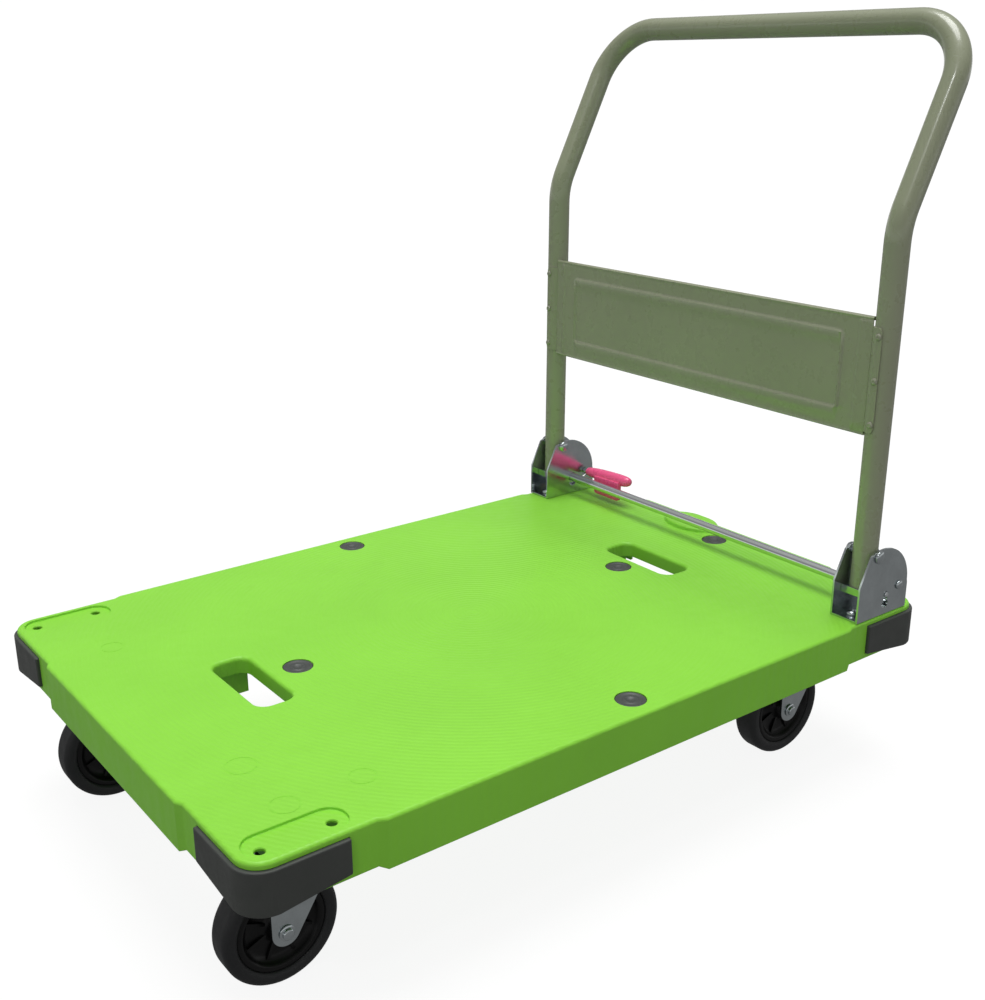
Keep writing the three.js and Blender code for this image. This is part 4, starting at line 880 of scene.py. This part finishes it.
def spring(label, side):
    low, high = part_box(f"lock_spring_{label}")
    z0, z1 = low.z * 1000 + 0.7, high.z * 1000 - 0.7
    turns, steps = 4.0, 96
    pts = []
    for i in range(steps + 1):
        t = i / steps
        a = 2 * math.pi * turns * t
        pts.append((ROD_X + 4.7 * math.cos(a), side * LEG_Y + 4.7 * math.sin(a), z0 + (z1 - z0) * t))
    made = tube(f"coil_{label}", pts, 0.7, SPRING, 10)
    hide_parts(f"lock_spring_{label}")
    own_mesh(made)
    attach(made, "platform")


for side_name, side_sign in SIDES:
    spring(side_name, side_sign)

# ---- Casters -------------------------------------------------------------------------------------


def caster(name, sx, sy):
    cx, cy = sx * CASTER_X, sy * CASTER_Y
    top = CASTER_TOP
    # mounting plate with a stepped race
    outline = round_box(100, 86, 9, cx, cy, 6)
    base = plate("base", outline, top - 4, top, ZINC, "xy")
    holes = [plate("cutter", round_box(13, 9, 4.5, cx + a * 37, cy + b * 30, 5), top - 9, top + 5, None,
        "xy") for a in (1, -1) for b in (1, -1)]
    carve(base, holes)
    race = turned("race", [(0, top - 9), (26, top - 9), (28.6, top - 8.4), (30, top - 7),
        (30.4, top - 4.6), (31.5, top - 3.9), (0, top - 3.9)],
                  (cx, cy, 0), (0, 0, 1), ZINC, 48, 40)
    made = rounded(merged(f"top_plate_{name}", [base, race]), 0.5, 2, 60)
    stand_for(made, "platform", f"caster_plate_{name}")
    seat = 137.5
    pin = turned(f"king_{name}", [(0, seat - 6), (8, seat - 6), (9.6, seat - 5), (10, seat - 3.5),
        (10, seat), (6, seat), (6, top - 0.3), (0, top - 0.3)],
                 (cx, cy, 0), (0, 0, 1), ZINC, 40, 40)
    stand_for(pin, "platform", f"kingpin_{name}")
    body = f"caster_{name}"
    # fork
    ax = cx - TRAIL
    crown_z = FORK_TOP
    r = 14.5
    rear = Vector((cx + 38, crown_z - 1.6))
    away = rear - Vector((ax, WHEEL_R))
    tangent = math.degrees(math.atan2(away.y, away.x) - math.acos(r / away.length))
    leg = arc(ax, WHEEL_R, r, -180, tangent, 18) + [(rear.x, rear.y), (cx - 34, crown_z - 1.6),
        (ax - r, 100)]
    inner, outer = FORK_IN, FORK_OUT
    parts = []
    for s in (1, -1):
        y0, y1 = sorted((cy + s * inner, cy + s * outer))
        cheek = plate("cheek", leg, y0, y1, ZINC)
        carve(cheek, [plate("cutter", arc(ax, WHEEL_R, 6.3, 0, 360, 28)[:-1], y0 - 3, y1 + 3, None)])
        parts.append(cheek)
    parts.append(block("crown", (cx - 34, cx + 38), (cy - FORK_OUT, cy + FORK_OUT),
        (crown_z - 3.2, crown_z), ZINC))
    parts.append(turned("cup", [(0, 139.4), (30, 139.4), (32.6, 140.6), (33, 143), (33, 147), (30, 150.2),
        (0, 150.2)], (cx, cy, 0), (0, 0, 1), ZINC, 56, 40))
    made = rounded(merged(f"fork_{name}", parts), 0.7, 3, 50)
    stand_for(made, body, f"caster_fork_{name}")
    # axle with a low turned head at each end
    end = 21.8
    half = [(6, end), (7.7, end), (8, end + 0.4), (8, end + 1.2), (7.5, end + 1.6), (5.8, end + 1.9),
        (5.6, end + 4.0), (5.0, end + 4.7),
            (4.2, end + 5), (0, end + 5)]
    profile = [(r, -y) for r, y in reversed(half)] + half
    made = turned(f"axle_bolt_{name}", profile, (ax, cy, WHEEL_R), (0, 1, 0), ZINC, 40, 35)
    stand_for(made, body, f"axle_{name}")
    # wheel
    wheel_body = f"wheel_{name}"
    at = (ax, cy, WHEEL_R)
    half = [(6.4, 17.9), (11.5, 17.9), (12.6, 16.9), (13.4, 11), (15.5, 7.0), (19, 5.0), (26, 4.2),
        (32, 4.4), (35.5, 6.0), (38.2, 9.8), (39.4, 12.2),
            (40.6, 13.0), (44.2, 13.0), (45.2, 12.4)]
    profile = [(rr, -y) for rr, y in half] + [(rr, y) for rr, y in reversed(half)]
    hub = turned(f"hub_{name}", profile, at, (0, 1, 0), HUB, 72, 50, closed=True)
    ribs = []
    for k in range(8):
        a = math.radians(22.5 + 45 * k)
        for s in (1, -1):
            pts = []
            for rr, w in ((14.5, 1.5), (38.5, 1.5), (38.5, -1.5), (14.5, -1.5)):
                pts.append((ax + rr * math.cos(a) - w * math.sin(a),
                    WHEEL_R + rr * math.sin(a) + w * math.cos(a)))
            y0, y1 = sorted((cy + s * 3.5, cy + s * 7.0))
            ribs.append(plate("rib", pts, y0, y1, HUB))
    made = merged(f"hub_{name}", [hub, *ribs])
    smooth(made, 40)
    stand_for(made, wheel_body, f"wheel_hub_{name}")
    half = [(45.5, 0), (45.5, 12.4), (46.4, 13.8), (48.2, 14.9), (50.4, 15.4), (52.6, 15.5)]
    half += [(52.5 + 7 * math.sin(math.radians(a)), 8.5 + 7 * math.cos(math.radians(a))) for a in (12, 24,
        36, 48, 60, 72, 84)]
    half += [(59.5, 7.0), (59.5, 0)]
    profile = [(rr, -y) for rr, y in half] + [(rr, y) for rr, y in reversed(half[1:-1])]
    stand_for(turned(f"tread_{name}", profile, at, (0, 1, 0), TYRE, 96, 40, closed=True), wheel_body,
        f"tyre_{name}")


for corner_name, corner_x, corner_y in CORNERS:
    caster(corner_name, corner_x, corner_y)

# ---- Floor, light and camera ---------------------------------------------------------------------


def floor():
    """Pale floor that glows but lights nothing, so the cart throws only a faint shade on it."""
    mesh = bpy.data.meshes.new("floor")
    mesh.from_pydata([(-60, -60, 0), (60, -60, 0), (60, 60, 0), (-60, 60, 0)], [], [(0, 1, 2, 3)])
    made = bpy.data.objects.new("floor", mesh)
    bpy.context.scene.collection.objects.link(made)
    look = Look("pale_floor", specular=0.0)
    look.colour(look.ramp(look.noise(0.8, 3.0), [(0.3, (0.115, 0.115, 0.115)),
        (0.7, (0.125, 0.125, 0.125))]))
    look.bsdf.inputs["Roughness"].default_value = 1.0
    look.bsdf.inputs["Emission Color"].default_value = (1, 1, 1, 1)
    look.bsdf.inputs["Emission Strength"].default_value = 0.90
    made.data.materials.append(look.mat)
    made.visible_diffuse = False
    made.visible_glossy = False


floor()


def backdrop():
    """White wall that closes the view above the floor's far edge."""
    made = turned("backdrop", [(56000, -2000), (56000, 40000)], (0, 0, 0), (0, 0, 1), None, 96, 40)
    bm = bmesh.new()
    bm.from_mesh(made.data)
    bmesh.ops.delete(bm, geom=[f for f in bm.faces if abs(f.normal.z) > 0.5], context="FACES")
    bm.to_mesh(made.data)
    bm.free()
    look = Look("white_wall", specular=0.0)
    look.colour(look.ramp(look.noise(0.8, 3.0), [(0.3, (0.04, 0.04, 0.04)), (0.7, (0.05, 0.05, 0.05))]))
    look.bsdf.inputs["Roughness"].default_value = 1.0
    look.bsdf.inputs["Emission Color"].default_value = (1, 1, 1, 1)
    look.bsdf.inputs["Emission Strength"].default_value = 1.0
    made.data.materials.append(look.mat)
    made.visible_diffuse = False
    made.visible_glossy = False
    made.visible_shadow = False


backdrop()


def sun(name, at, strength, spread):
    data = bpy.data.lights.new(name, "SUN")
    data.energy = strength
    data.angle = math.radians(spread)
    made = bpy.data.objects.new(name, data)
    made.rotation_mode = "QUATERNION"
    made.rotation_quaternion = (-Vector(at)).to_track_quat("-Z", "Y")
    bpy.context.scene.collection.objects.link(made)


sun("key", (0.1, 0.1, 1.0), 2.0, 36)
sun("streak", (-0.75, -0.35, 0.9), 0.3, 5)


def studio():
    """A white room: grey below, bright at the horizon and straight above."""
    world = bpy.data.worlds.new("studio")
    bpy.context.scene.world = world
    world.use_nodes = True
    nodes, links = world.node_tree.nodes, world.node_tree.links
    coord = nodes.new("ShaderNodeTexCoord")
    split = nodes.new("ShaderNodeSeparateXYZ")
    height = nodes.new("ShaderNodeMapRange")
    height.inputs["From Min"].default_value = -1.0
    height.inputs["From Max"].default_value = 1.0
    tone = nodes.new("ShaderNodeValToRGB")
    stops = tone.color_ramp.elements
    levels = ((0.0, 0.20), (0.47, 0.26), (0.5, 0.95), (0.54, 0.95), (0.58, 0.34), (0.75, 0.24),
        (0.86, 0.45), (1.0, 0.8))
    while len(stops) < len(levels):
        stops.new(0.5)
    for stop, (place, level) in zip(stops, levels):
        stop.position = place
        stop.color = (level, level, level, 1)
    links.new(coord.outputs["Generated"], split.inputs["Vector"])
    links.new(split.outputs["Z"], height.inputs["Value"])
    links.new(height.outputs["Result"], tone.inputs["Fac"])
    links.new(tone.outputs["Color"], nodes["Background"].inputs["Color"])
    nodes["Background"].inputs["Strength"].default_value = 1.0


studio()

camera_data = bpy.data.cameras.new("camera")
camera_data.sensor_width = 36
camera_data.lens = 45.70
camera_data.clip_start, camera_data.clip_end = 0.05, 100
camera = bpy.data.objects.new("camera", camera_data)
azimuth, elevation, roll = math.radians(-36.93), math.radians(19.07), math.radians(-0.32)
back = Vector((math.sin(azimuth) * math.cos(elevation), -math.cos(azimuth) * math.cos(elevation),
    math.sin(elevation)))
right = (-back).cross(Vector((0, 0, 1))).normalized()
up = right.cross(-back)
right_r = right * math.cos(roll) + up * math.sin(roll)
up_r = -right * math.sin(roll) + up * math.cos(roll)
turn = Matrix((right_r, up_r, back)).transposed()
camera.matrix_world = Matrix.Translation((MIDDLE_X - 0.449 - 0.3584, -1.1154, 0.8138)) @ turn.to_4x4()
bpy.context.scene.collection.objects.link(camera)
bpy.context.scene.camera = camera
bpy.context.scene.view_settings.view_transform = "Standard"
